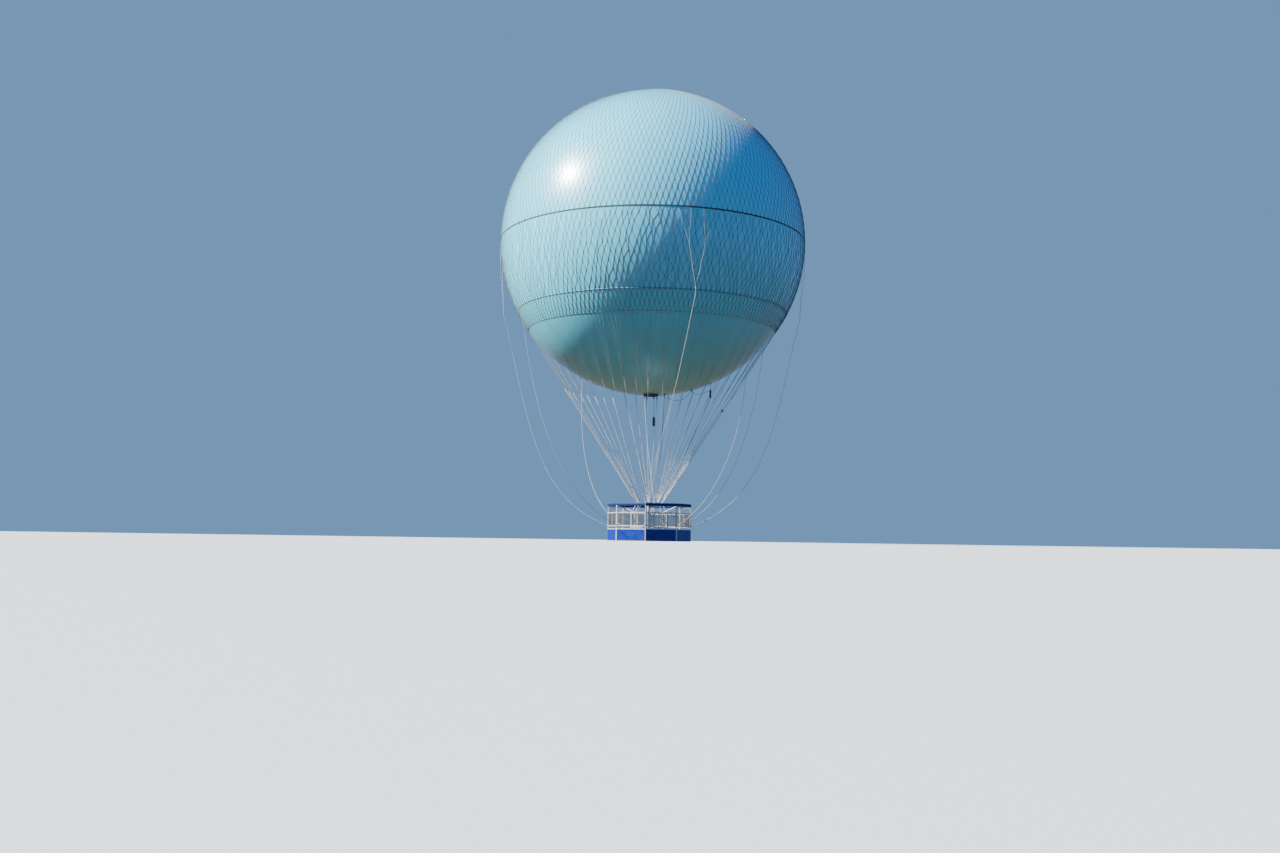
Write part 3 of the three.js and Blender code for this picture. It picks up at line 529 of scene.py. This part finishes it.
dark_sheath = painted_finish("dark_sheath", (0.025, 0.027, 0.03), (0.07, 0.07, 0.07), 0.5)
dark_wire = painted_finish("dark_wire", (0.15, 0.15, 0.14), (0.08, 0.07, 0.06), 0.6, metallic=0.3)
pad_cover = pad_cover_finish()
deck_plank = deck_finish()
machined = machined_finish()


# Making pieces.
def keep(obj, material, body="balloon"):
    obj.data.materials.clear()
    obj.data.materials.append(material)
    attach(obj, body)
    return obj


def piece(name, mesh, material, smooth=True):
    data = bpy.data.meshes.new(name)
    mesh.to_mesh(data)
    mesh.free()
    if smooth:
        for face in data.polygons:
            face.use_smooth = True
    obj = bpy.data.objects.new(name, data)
    bpy.context.scene.collection.objects.link(obj)
    return keep(obj, material)


# Round cords along lists of points, in one piece.
def tubes(name, runs, radius, material, sides=6, body="balloon", bend="POLY", end_radius=1.0):
    curve = bpy.data.curves.new(name, "CURVE")
    curve.dimensions = "3D"
    curve.bevel_depth = radius
    curve.bevel_resolution = max(sides // 2 - 2, 0)
    curve.use_fill_caps = True
    curve.resolution_u = 4
    for points in runs:
        spline = curve.splines.new(bend)
        if bend == "BEZIER":
            spline.bezier_points.add(len(points) - 1)
            for knot, point in zip(spline.bezier_points, points):
                knot.co = point[:3]
                knot.handle_left_type = "AUTO"
                knot.handle_right_type = "AUTO"
        else:
            spline.points.add(len(points) - 1)
            for knot, point in zip(spline.points, points):
                knot.co = (point[0], point[1], point[2], 1.0)
            spline.points[0].radius = end_radius
            spline.points[-1].radius = end_radius
    obj = bpy.data.objects.new(name, curve)
    bpy.context.scene.collection.objects.link(obj)
    return keep(obj, material, body)


# A ring turned from a profile of radius and level, which is closed unless it is a skin.
def turned(mesh, profile, closed=True):
    verts = [mesh.verts.new((radius, 0.0, level)) for radius, level in profile]
    edges = [mesh.edges.new(pair) for pair in zip(verts, verts[1:])]
    if closed:
        edges.append(mesh.edges.new((verts[-1], verts[0])))
    bmesh.ops.spin(mesh, geom=verts + edges, cent=(0, 0, 0), axis=(0, 0, 1), angle=2 * math.pi,
                   steps=ROUND_STEPS, use_merge=True, use_duplicate=False)
    bmesh.ops.remove_doubles(mesh, verts=mesh.verts, dist=1e-5)
    bmesh.ops.recalc_face_normals(mesh, faces=mesh.faces)


# A bevelled block; its size is width round the axis, depth and height.
def add_block(mesh, azimuth, at, size, bevel):
    turn = Matrix.Rotation(math.radians(azimuth), 4, "Z")
    where = Matrix.Translation(at) @ turn @ Matrix.Diagonal((*size, 1))
    made = bmesh.ops.create_cube(mesh, size=1.0, matrix=where)
    edges = list({edge for vert in made["verts"] for edge in vert.link_edges})
    bmesh.ops.bevel(mesh, geom=edges, offset=bevel, segments=2, profile=0.5, affect="EDGES", material=-1)


# A round plate, boss or bolt head; six sides make a hexagon.
def add_disc(mesh, at, radius, thick, direction=(0, 0, 1), sides=12):
    turn = Vector((0, 0, 1)).rotation_difference(Vector(direction)).to_matrix().to_4x4()
    bmesh.ops.create_cone(mesh, cap_ends=True, segments=sides, radius1=radius, radius2=radius, depth=thick,
                          matrix=Matrix.Translation(at) @ turn)


# Camera at floor level in front of the boarding side, looking up as the photograph does.
def add_camera():
    data = bpy.data.cameras.new("camera")
    data.sensor_width = 36.0
    data.lens = data.sensor_width * FOCAL_LENGTH / FRAME_WIDTH
    data.clip_end = 1000.0
    camera = bpy.data.objects.new("camera", data)
    bpy.context.scene.collection.objects.link(camera)
    turn = Matrix.Rotation(CAMERA_TURN, 4, "Z") @ Matrix.Rotation(math.pi / 2 + CAMERA_LIFT, 4, "X")
    roll = Matrix.Rotation(CAMERA_ROLL, 4, "Z")
    camera.matrix_world = Matrix.Translation(CAMERA_PLACE) @ turn @ roll
    bpy.context.scene.camera = camera


add_camera()


# Cords first: eight slack handling lines, the valve cord with its weight, and the cable.
def add_handling_lines():
    for index, (lead, sway, knot_height, length) in enumerate(LINES):
        drop = knot_height - KNOT_TALL / 2 - SEAT - LINE_FOOT
        points = []
        for radius, share in LINE_ROUTE:
            bend = (share - LINE_BEND[0]) / (LINE_BEND[1] - LINE_BEND[0])
            bend = min(max(bend, 0.0), 1.0)
            azimuth = CORNER_AZIMUTHS[index] + lead * bend + sway * math.sin(math.pi * bend)
            points.append(place(azimuth, radius, LINE_FOOT + drop * share))
        line = tubes(f"handling_rope_{index + 1}", [points], LINE_DIAMETER / 2, white_rope,
                     sides=8, bend="BEZIER")
        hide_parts(f"handling_line_{index + 1}")


def add_valve_cord():
    top = Vector(VALVE_CORD_TOP)
    points = [top + Vector((0, 0, -VALVE_CORD_LENGTH * i / 14)) for i in range(15)]
    cord = tubes("valve_line", [points], VALVE_CORD_DIAMETER / 2, dark_sheath, sides=8)
    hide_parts("valve_cord")


def add_cable():
    points = [place(CABLE_AZIMUTH, radius, height) for radius, height in CABLE_ROUTE]
    cable = tubes("looped_cable", [points], CABLE_DIAMETER / 2, dark_sheath, sides=8,
                  bend="BEZIER")
    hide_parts("sensor_cable")


add_handling_lines()
add_valve_cord()
add_cable()


# Envelope skin, with both walls and the two round openings.
def add_envelope():
    mesh = bmesh.new()
    low = -math.acos(MOUTH_RADIUS / ENVELOPE_RADIUS)
    high = math.acos(CROWN_RADIUS / ENVELOPE_RADIUS)
    rows = 100
    profile = []
    for row in range(rows + 1):
        lift = low + (high - low) * row / rows
        profile.append((ENVELOPE_RADIUS * math.cos(lift), ENVELOPE_RADIUS * math.sin(lift)))
    turned(mesh, profile, closed=False)
    skin = piece("envelope_skin", mesh, coated_cloth)
    wall = skin.modifiers.new("wall", "SOLIDIFY")
    wall.thickness = ENVELOPE_WALL
    wall.offset = -1.0
    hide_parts("envelope")


# Diamond net: two crossed sets of cords between two end ropes, with a knot at each crossing, slack
# between the belt and the lower band.
def add_net():
    around = 2 * NET_MESHES
    chance = random.Random(7)
    slack = [[chance.uniform(-1.0, 1.0) for _ in range(around)] for _ in range(NET_ROWS + 1)]

    def crossing(row, index):
        latitude = NET_BOTTOM + row * NET_STEP
        loose = SLACK_STRAY if SLACK_BAND[0] < latitude < SLACK_BAND[1] else TIGHT_STRAY
        azimuth = index + loose * slack[row][index]
        lift = latitude + 0.5 * loose * slack[row][(index + NET_MESHES + 1) % around]
        return on_sphere(azimuth, lift, ENVELOPE_RADIUS + NET_PROUD)

    runs = []
    for turn in (1, -1):
        for first in range(NET_MESHES):
            runs.append([crossing(row, (2 * first + turn * row) % around) for row in range(NET_ROWS + 1)])
    tubes("net", runs, NET_CORD, net_cord, sides=4)
    ends = []
    for latitude in (NET_BOTTOM, NET_BOTTOM + NET_ROWS * NET_STEP):
        ends.append([on_sphere(2 * step, latitude, ENVELOPE_RADIUS + END_ROPE_PROUD)
                     for step in range(NET_MESHES + 1)])
    tubes("net_end_ropes", ends, END_ROPE, net_cord, sides=6)
    knots = []
    for row in range(1, NET_ROWS):
        for first in range(NET_MESHES):
            at = crossing(row, 2 * first + row % 2)
            rise = at.cross(Vector((-at.y, at.x, 0))).normalized() * NET_KNOT_HALF
            knots.append([at - rise, at - rise * 0.5, at + rise * 0.5, at + rise])
    # The knots take the darker cord: painted shade at each crossing.
    tubes("net_knots", knots, NET_KNOT, shaded_knot_cord, sides=4, end_radius=0.45)


# Belt: a dark strap over the net, with a raised edge along its top and bottom.
def add_belt():
    mesh = bmesh.new()
    back = ENVELOPE_RADIUS + SEAT
    face, edge = back + BELT_THICK, back + BELT_EDGE_THICK
    profile = [(back, BELT_BOTTOM), (edge, BELT_BOTTOM), (edge, BELT_BOTTOM + 0.014),
               (face, BELT_BOTTOM + 0.018), (face, BELT_TOP - 0.018),
               (edge, BELT_TOP - 0.014), (edge, BELT_TOP), (back, BELT_TOP)]
    turned(mesh, profile)
    strap = piece("belt_strap", mesh, dark_webbing, smooth=False)
    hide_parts("equator_belt")


# Lower band: a flat strap in the cloth's colour, toggled to the net at each mesh.
def add_lower_band():
    mesh = bmesh.new()
    profile = []
    top, bottom = LOWER_BAND
    back, face = ENVELOPE_RADIUS + 0.0005, ENVELOPE_RADIUS + LOWER_BAND_THICK
    for latitude, radius in ((bottom, back), (bottom, face), (top, face), (top, back)):
        lift = math.radians(latitude)
        profile.append((radius * math.cos(lift), radius * math.sin(lift)))
    turned(mesh, profile)
    band = piece("lower_strap", mesh, sea_webbing)
    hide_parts("lower_band")
    dashes = []
    for index in range(NET_MESHES):
        dashes.append([on_sphere(2 * index + 1, level, ENVELOPE_RADIUS + TOGGLE_PROUD) for level in TOGGLES])
    tubes("lower_strap_toggles", dashes, TOGGLE_RADIUS, net_cord, sides=4)


# Bridles: four legs from the belt to two knots, and on to one knot where the line begins.
def add_bridles():
    runs = []
    legs = []
    tabs = bmesh.new()
    knots = bmesh.new()
    for index, (lead, _, knot_height, _) in enumerate(LINES):
        centre = CORNER_AZIMUTHS[index] + lead
        foot = place(centre, KNOT_RADIUS, knot_height)
        split_height = TAB_HEIGHT - BRIDLE_SPLIT * (TAB_HEIGHT - knot_height)
        for side in (-1, 1):
            middle = place(centre + BRIDLE_SPREAD * side, ENVELOPE_RADIUS + SPLIT_PROUD, split_height)
            runs.append([middle, foot])
            for leg in LEG_SPREADS:
                azimuth = centre + side * leg
                legs.append([place(azimuth, ENVELOPE_RADIUS + LEG_PROUD, TAB_HEIGHT - 0.02), middle])
                at = place(azimuth, ENVELOPE_RADIUS + TAB_PROUD, TAB_HEIGHT + 0.02)
                add_block(tabs, azimuth, at, TAB_SIZE, 0.004)
            add_block(knots, centre + BRIDLE_SPREAD * side, middle, SPLIT_KNOT, 0.012)
        add_block(knots, centre, foot, (0.05, 0.05, KNOT_TALL), 0.012)
    tubes("bridles", runs, BRIDLE_RADIUS, white_rope, sides=6)
    tubes("bridle_legs", legs, LEG_RADIUS, white_rope, sides=6)
    piece("belt_tabs", tabs, dark_webbing)
    piece("bridle_knots", knots, pale_sleeve)


def group_azimuth(group):
    return FIRST_GROUP + group * ROPES_PER_GROUP * ROPE_SPREAD


# Where a rope starts on the load ring, and where it would touch the net on the envelope.
def rope_foot(centre, index):
    turn = index - (ROPES_PER_GROUP - 1) / 2
    across = Vector((math.cos(math.radians(centre)), math.sin(math.radians(centre)), 0))
    return place(centre, LOAD_RING_RADIUS, ROPE_FOOT) + across * turn * ROPE_FOOT_PITCH


def tangent_point(foot, azimuth):
    turn = math.radians(azimuth)
    flat = foot.x * math.sin(turn) - foot.y * math.cos(turn)
    reach = math.hypot(flat, foot.z)
    lift = math.atan2(foot.z, flat) + math.acos(ROPE_TRACK / reach)
    return on_sphere(azimuth, math.degrees(lift), ROPE_TRACK)


# Suspension ropes: four thin legs from the net meet in each rope's splice, and five ropes in a shackle.
def add_suspension_ropes():
    below, above = SLEEVE_SHARES
    sleeves = []
    wraps = []
    for group in range(ROPE_GROUPS):
        centre = group_azimuth(group)
        runs = []
        legs = []
        for index in range(ROPES_PER_GROUP):
            azimuth = centre + (index - 2) * ROPE_SPREAD
            foot = rope_foot(centre, index)
            leave = tangent_point(foot, azimuth)
            share = (SPLICE_HEIGHT - CENTRE_HEIGHT - foot.z) / (leave.z - foot.z)
            splice = foot.lerp(leave, share)
            upper = foot.lerp(leave, share + above)
            runs.append([foot, splice])
            sleeves.append([splice.lerp(foot, below), splice, upper])
            wraps.append([foot.lerp(leave, end) for end in FOOT_WRAP_SHARES])
            for step in (-3, -1, 1, 3):
                top = on_sphere(azimuth + step, NET_BOTTOM, ENVELOPE_RADIUS + ROPE_LEG_PROUD)
                legs.append([upper, top])
        ropes = tubes(f"rope_fan_{group + 1}", runs, ROPE_RADIUS, white_rope, sides=6)
        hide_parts(f"suspension_ropes_{group + 1}")
        tubes(f"rope_legs_{group + 1}", legs, ROPE_LEG_RADIUS, leg_cord, sides=4)
    tubes("rope_splices", sleeves, SLEEVE_RADIUS, pale_sleeve, sides=8)
    tubes("rope_foot_wraps", wraps, FOOT_WRAP_RADIUS, pale_sleeve, sides=8)


# Dark strap wound round one rope, half way up: its place as a share of the rope, its length along the
# rope, its turns and its radius. Its turns lie further out in the middle.
WRAP_SHARE = 0.512
WRAP_LENGTH = 0.20
WRAP_TURNS = 7
WRAP_RADIUS = 0.017


def add_rope_wrap():
    centre, index = WRAPPED_ROPE
    foot = rope_foot(centre, index)
    leave = tangent_point(foot, centre + (index - 2) * ROPE_SPREAD)
    along = (leave - foot).normalized()
    side = along.cross(Vector((0, 0, 1))).normalized()
    other = along.cross(side)
    middle = foot.lerp(leave, WRAP_SHARE)
    steps = 12 * WRAP_TURNS
    points = []
    for step in range(steps + 1):
        share = step / steps
        angle = 2 * math.pi * WRAP_TURNS * share
        belly = 0.030 + 0.020 * math.sin(math.pi * share)
        around = side * math.cos(angle) * belly + other * math.sin(angle) * belly
        points.append(middle + around + along * WRAP_LENGTH * (share - 0.5))
    tubes("rope_wrap", [points], WRAP_RADIUS, dark_webbing, sides=6)


# Taut lines to the load ring: from the cable's box, and from a patch beside the mouth over a guide.
def add_taut_lines():
    ring_level = 2.69
    box_end = place(CABLE_AZIMUTH, CABLE_BOX, 10.49)
    ring_end = place(CABLE_AZIMUTH, LOAD_RING_RADIUS, ring_level)
    mouth_end = place(93, 1.01, 10.69)
    guide = place(91, 0.88, 7.98)
    lower_end = place(32, LOAD_RING_RADIUS, ring_level)
    tubes("box_cable", [[box_end, ring_end]], 0.014, dark_sheath, sides=8)
    patch = bmesh.new()
    slope = mouth_end.normalized()
    add_disc(patch, mouth_end - slope * 0.004, 0.16, 0.006, slope, 24)
    add_disc(patch, mouth_end + slope * 0.022, 0.045, 0.05, slope, 16)
    piece("pull_patch", patch, dark_webbing, smooth=False)
    tubes("valve_pull", [[mouth_end, guide, lower_end]], 0.016, dark_sheath, sides=8)


add_envelope()
add_net()
add_belt()
add_lower_band()
add_bridles()
add_suspension_ropes()
add_rope_wrap()
add_taut_lines()


# Shackles on the load ring's lugs: half of a bow as distance off the lug and height, then the pin.
SHACKLE_BOW = [(0.024, 2.735), (0.024, 2.80), (0.020, 2.85), (0.0, 2.872)]
SHACKLE_PIN = 2.74
PIN_END = 0.05


def add_shackles():
    bows = []
    mesh = bmesh.new()
    for group in range(ROPE_GROUPS):
        azimuth = group_azimuth(group)
        for side in (-1, 1):
            bows.append([place(azimuth, LOAD_RING_RADIUS + side * off, height)
                         for off, height in SHACKLE_BOW])
        outward = place(azimuth, 1.0, CENTRE_HEIGHT)
        add_disc(mesh, place(azimuth, LOAD_RING_RADIUS, SHACKLE_PIN), 0.011, 0.11, outward)
        for side in (1, -1):
            end = place(azimuth, LOAD_RING_RADIUS + side * PIN_END, SHACKLE_PIN)
            add_disc(mesh, end, 0.020, 0.016, outward, 6)
    tubes("shackle_bows", bows, 0.010, galvanised, sides=8)
    piece("shackle_pins", mesh, galvanised, smooth=False)


# Crown and mouth: bolts round the plates, as number and circle, and small fittings that hang below the
# mouth ring, as azimuth and height.
CROWN_BOLTS = (32, 0.85)
MOUTH_BOLTS = (24, 0.487)
MOUTH_FITTINGS = [(-80, 0.22), (-35, 0.14), (20, 0.18), (60, 0.24), (150, 0.16), (215, 0.2)]


def add_end_fittings():
    mesh = bmesh.new()
    crown_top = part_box("crown_plate")[1].z + CENTRE_HEIGHT
    count, circle = CROWN_BOLTS
    for index in range(count):
        add_disc(mesh, place(index * 360 / count, circle, crown_top + 0.006), 0.014, 0.012, sides=6)
    ring_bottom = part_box("base_ring")[0].z + CENTRE_HEIGHT
    count, circle = MOUTH_BOLTS
    for index in range(count):
        add_disc(mesh, place((index + 0.5) * 360 / count, circle, ring_bottom - 0.005), 0.012, 0.010, sides=6)
    piece("clamp_bolts", mesh, galvanised, smooth=False)
    mesh = bmesh.new()
    for azimuth, tall in MOUTH_FITTINGS:
        at = place(azimuth, 0.488, ring_bottom - tall / 2 - 0.002)
        add_block(mesh, azimuth, at, (0.05, 0.035, tall), 0.008)
        add_disc(mesh, at - Vector((0, 0, tall / 2)), 0.035, 0.03, place(azimuth, 1.0, CENTRE_HEIGHT), 12)
    piece("mouth_fittings", mesh, dark_paint, smooth=False)


# Fine wire mesh within the guard rails: upright wires in front, level ones behind.
def wire_field(bay, start, end, bottom, top):
    runs = []
    count = int((end - start) / WIRE_PITCH)
    for i in range(1, count):
        along = start + (end - start) * i / count
        runs.append([in_bay(bay, along, 0.0, bottom), in_bay(bay, along, 0.0, top)])
    count = int((top - bottom) / WIRE_PITCH)
    for i in range(1, count):
        height = bottom + (top - bottom) * i / count
        runs.append([in_bay(bay, start, 0.003, height), in_bay(bay, end, 0.003, height)])
    return runs


def add_guard_mesh():
    runs = []
    for bay in range(1, 8):
        runs += wire_field(bay, -PANEL_HALF, PANEL_HALF, *MESH_LEVELS)
    for start, end in ((-PANEL_HALF, -GATE_POST_HALF), (GATE_POST_HALF, PANEL_HALF)):
        runs += wire_field(0, start, end, *MESH_LEVELS)
    tubes("guard_mesh", runs, WIRE_RADIUS, dark_wire, sides=4)
    gate = wire_field(0, -GATE_HALF, GATE_HALF, GATE_BOTTOM, MESH_LEVELS[1])
    tubes("gate_mesh", gate, WIRE_RADIUS, dark_wire, sides=4, body="gate")


# Padded covers on the top ring, one to a bay, drawn in at the seams, with a lip over both of its faces.
# The outline goes round the section in halves of its depth and height from its middle.
PAD_REACH = (3.060, 2.905)
PAD_LEVELS = (2.5303, 2.700)
PAD_STATIONS = 48
PAD_END = 0.998
PAD_OUTLINE = [
    (1.01, 0.00), (0.93, 0.42), (0.76, 0.72), (0.50, 0.92), (0.16, 1.01), (-0.20, 1.01), (-0.55, 0.90),
    (-0.82, 0.66), (-0.97, 0.30), (-1.01, -0.40), (-0.96, -1.20), (-0.87, -1.56), (-0.70, -1.62),
    (-0.54, -1.40), (-0.53, -1.00), (0.10, -1.00), (0.71, -1.00), (0.72, -1.40), (0.80, -1.62),
    (0.92, -1.56), (1.00, -1.20), (1.03, -0.50),
]


def pad_section(mesh, bay, along, squeeze, lip):
    outer, inner = PAD_REACH
    bottom, top = PAD_LEVELS
    middle = (outer + inner) / 2 * math.cos(HALF_BAY)
    half_deep = (outer - inner) / 2 * math.cos(HALF_BAY)
    half_tall = (top - bottom) / 2
    ring = bmesh.ops.create_circle(mesh, segments=len(PAD_OUTLINE), radius=1.0)["verts"]
    for vert, (u, v) in zip(ring, PAD_OUTLINE):
        if v < -1.0:
            v = -1.0 + (v + 1.0) * lip
        reach = middle + u * half_deep * (squeeze if u < 0.7 else 1.0)
        slide = along * reach * math.tan(HALF_BAY)
        height = bottom + half_tall + v * half_tall * (squeeze if v > 0 else 1.0)
        vert.co = in_bay(bay, slide, BAY_PLANE - reach, height)
    return ring


def add_top_pads():
    for bay in range(8):
        mesh = bmesh.new()
        rings = []
        for step in range(PAD_STATIONS + 1):
            along = PAD_END * (2 * step / PAD_STATIONS - 1)
            seam = abs(math.sin(4 * math.pi * step / PAD_STATIONS))
            squeeze = 0.90 + 0.10 * min(1.0, 3.0 * seam) ** 0.5
            lip = min(1.0, max(0.0, min(step, PAD_STATIONS - step) - 1))
            if step in (0, PAD_STATIONS):
                squeeze = 0.88
            rings.append(pad_section(mesh, bay, along, squeeze, lip))
        for first, second in zip(rings, rings[1:]):
            loop = {edge for vert in first for edge in vert.link_edges if edge.other_vert(vert) in first}
            loop |= {edge for vert in second for edge in vert.link_edges if edge.other_vert(vert) in second}
            bmesh.ops.bridge_loops(mesh, edges=list(loop))
        for ring in (rings[0], rings[-1]):
            bmesh.ops.contextual_create(mesh, geom=ring)
        bmesh.ops.recalc_face_normals(mesh, faces=mesh.faces)
        pad = piece(f"top_cushion_{bay + 1}", mesh, pad_cover)
        soft = pad.modifiers.new("soft", "SUBSURF")
        soft.levels = 1
        soft.render_levels = 1
        if bay == 0:
            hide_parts("top_pad")


# Trim along the skirts' top and bottom edges, with rivets.
TRIM_LEVELS = (0.055, 0.80)
TRIM_SIZE = (2.17, 0.008, 0.03)
RIVETS = 13
RIVET_PITCH = 0.173


def add_skirt_trim():
    mesh = bmesh.new()
    for bay in range(8):
        for height in TRIM_LEVELS:
            add_block(mesh, BAY_AZIMUTHS[bay], in_bay(bay, 0, -0.0565, height), TRIM_SIZE, 0.002)
        outward = place(BAY_AZIMUTHS[bay], 1.0, CENTRE_HEIGHT)
        for i in range(RIVETS):
            along = RIVET_PITCH * (i - (RIVETS - 1) / 2)
            for height in TRIM_LEVELS:
                add_disc(mesh, in_bay(bay, along, -0.062, height), 0.008, 0.005, outward, 8)
    piece("skirt_trim", mesh, blue_paint, smooth=False)


add_shackles()
add_end_fittings()
add_guard_mesh()
add_top_pads()
add_skirt_trim()


# Finishes of the solids that show as they are.
def dress(names, material):
    for name in names:
        data = nodes[name].data
        data.materials.clear()
        data.materials.append(material)


dress(["outer_frame", "inner_frame", "floor_frame", "load_ring", "crown_plate", "gate", "gate_side_left",
       "gate_side_right"] + [f"mesh_panel_{i}" for i in range(2, 9)], galvanised)
dress(["gimbal_cross", "tether_fork", "tether"], machined)
dress(["base_ring", "base_valve", "crown_valve", "valve_cord_weight", "cable_box"], dark_paint)
dress(["cable_clamp"], dark_webbing)
dress(["deck"], deck_plank)
dress([f"skirt_panel_{i}" for i in range(1, 9)], blue_paint)


# Pale floor and sun, and a sky: the camera sees one plain blue, the light comes from a dome of its own.
def add_floor():
    mesh = bmesh.new()
    bmesh.ops.create_grid(mesh, x_segments=1, y_segments=1, size=400.0)
    bmesh.ops.translate(mesh, verts=mesh.verts, vec=(0, 0, -CENTRE_HEIGHT - 0.002))
    data = bpy.data.meshes.new("floor")
    mesh.to_mesh(data)
    mesh.free()
    floor = bpy.data.objects.new("floor", data)
    bpy.context.scene.collection.objects.link(floor)
    material, tree, shader = finish_with("pale_floor", roughness=0.9)
    shader.inputs["Base Color"].default_value = (0.66, 0.67, 0.66, 1.0)
    shader.inputs["Emission Color"].default_value = (1.0, 0.88, 0.70, 1.0)
    shader.inputs["Emission Strength"].default_value = 0.14
    data.materials.append(material)
    floor.visible_diffuse = False
    floor.visible_glossy = False


def add_light():
    data = bpy.data.lights.new("sun", "SUN")
    data.energy = SUN_ENERGY
    data.angle = math.radians(3.0)
    data.color = (1.0, 0.99, 0.96)
    sun = bpy.data.objects.new("sun", data)
    bpy.context.scene.collection.objects.link(sun)
    sun.matrix_world = Vector(SUN_TOWARD).to_track_quat("Z", "Y").to_matrix().to_4x4()
    world = bpy.data.worlds.new("studio")
    bpy.context.scene.world = world
    world.use_nodes = True
    tree = world.node_tree
    tree.nodes.clear()
    out = add_node(tree, "ShaderNodeOutputWorld")
    z = split(tree, add_node(tree, "ShaderNodeTexCoord").outputs["Generated"])[2]
    sky = blend_colours(tree, ramp(tree, z, -0.05, 0.6), (0.26, 0.50, 0.92), (0.09, 0.24, 0.74))
    dome = blend_colours(tree, ramp(tree, z, -0.25, 0.0), (0.27, 0.18, 0.10), sky)
    light = add_node(tree, "ShaderNodeBackground")
    light.inputs["Strength"].default_value = 0.82
    tree.links.new(dome, light.inputs["Color"])
    seen = add_node(tree, "ShaderNodeBackground")
    seen.inputs["Color"].default_value = (0.17, 0.36, 0.66, 1.0)
    seen.inputs["Strength"].default_value = 0.9
    path = add_node(tree, "ShaderNodeLightPath")
    choose = add_node(tree, "ShaderNodeMixShader")
    tree.links.new(path.outputs["Is Camera Ray"], choose.inputs[0])
    tree.links.new(light.outputs[0], choose.inputs[1])
    tree.links.new(seen.outputs[0], choose.inputs[2])
    tree.links.new(choose.outputs[0], out.inputs["Surface"])


add_floor()
add_light()
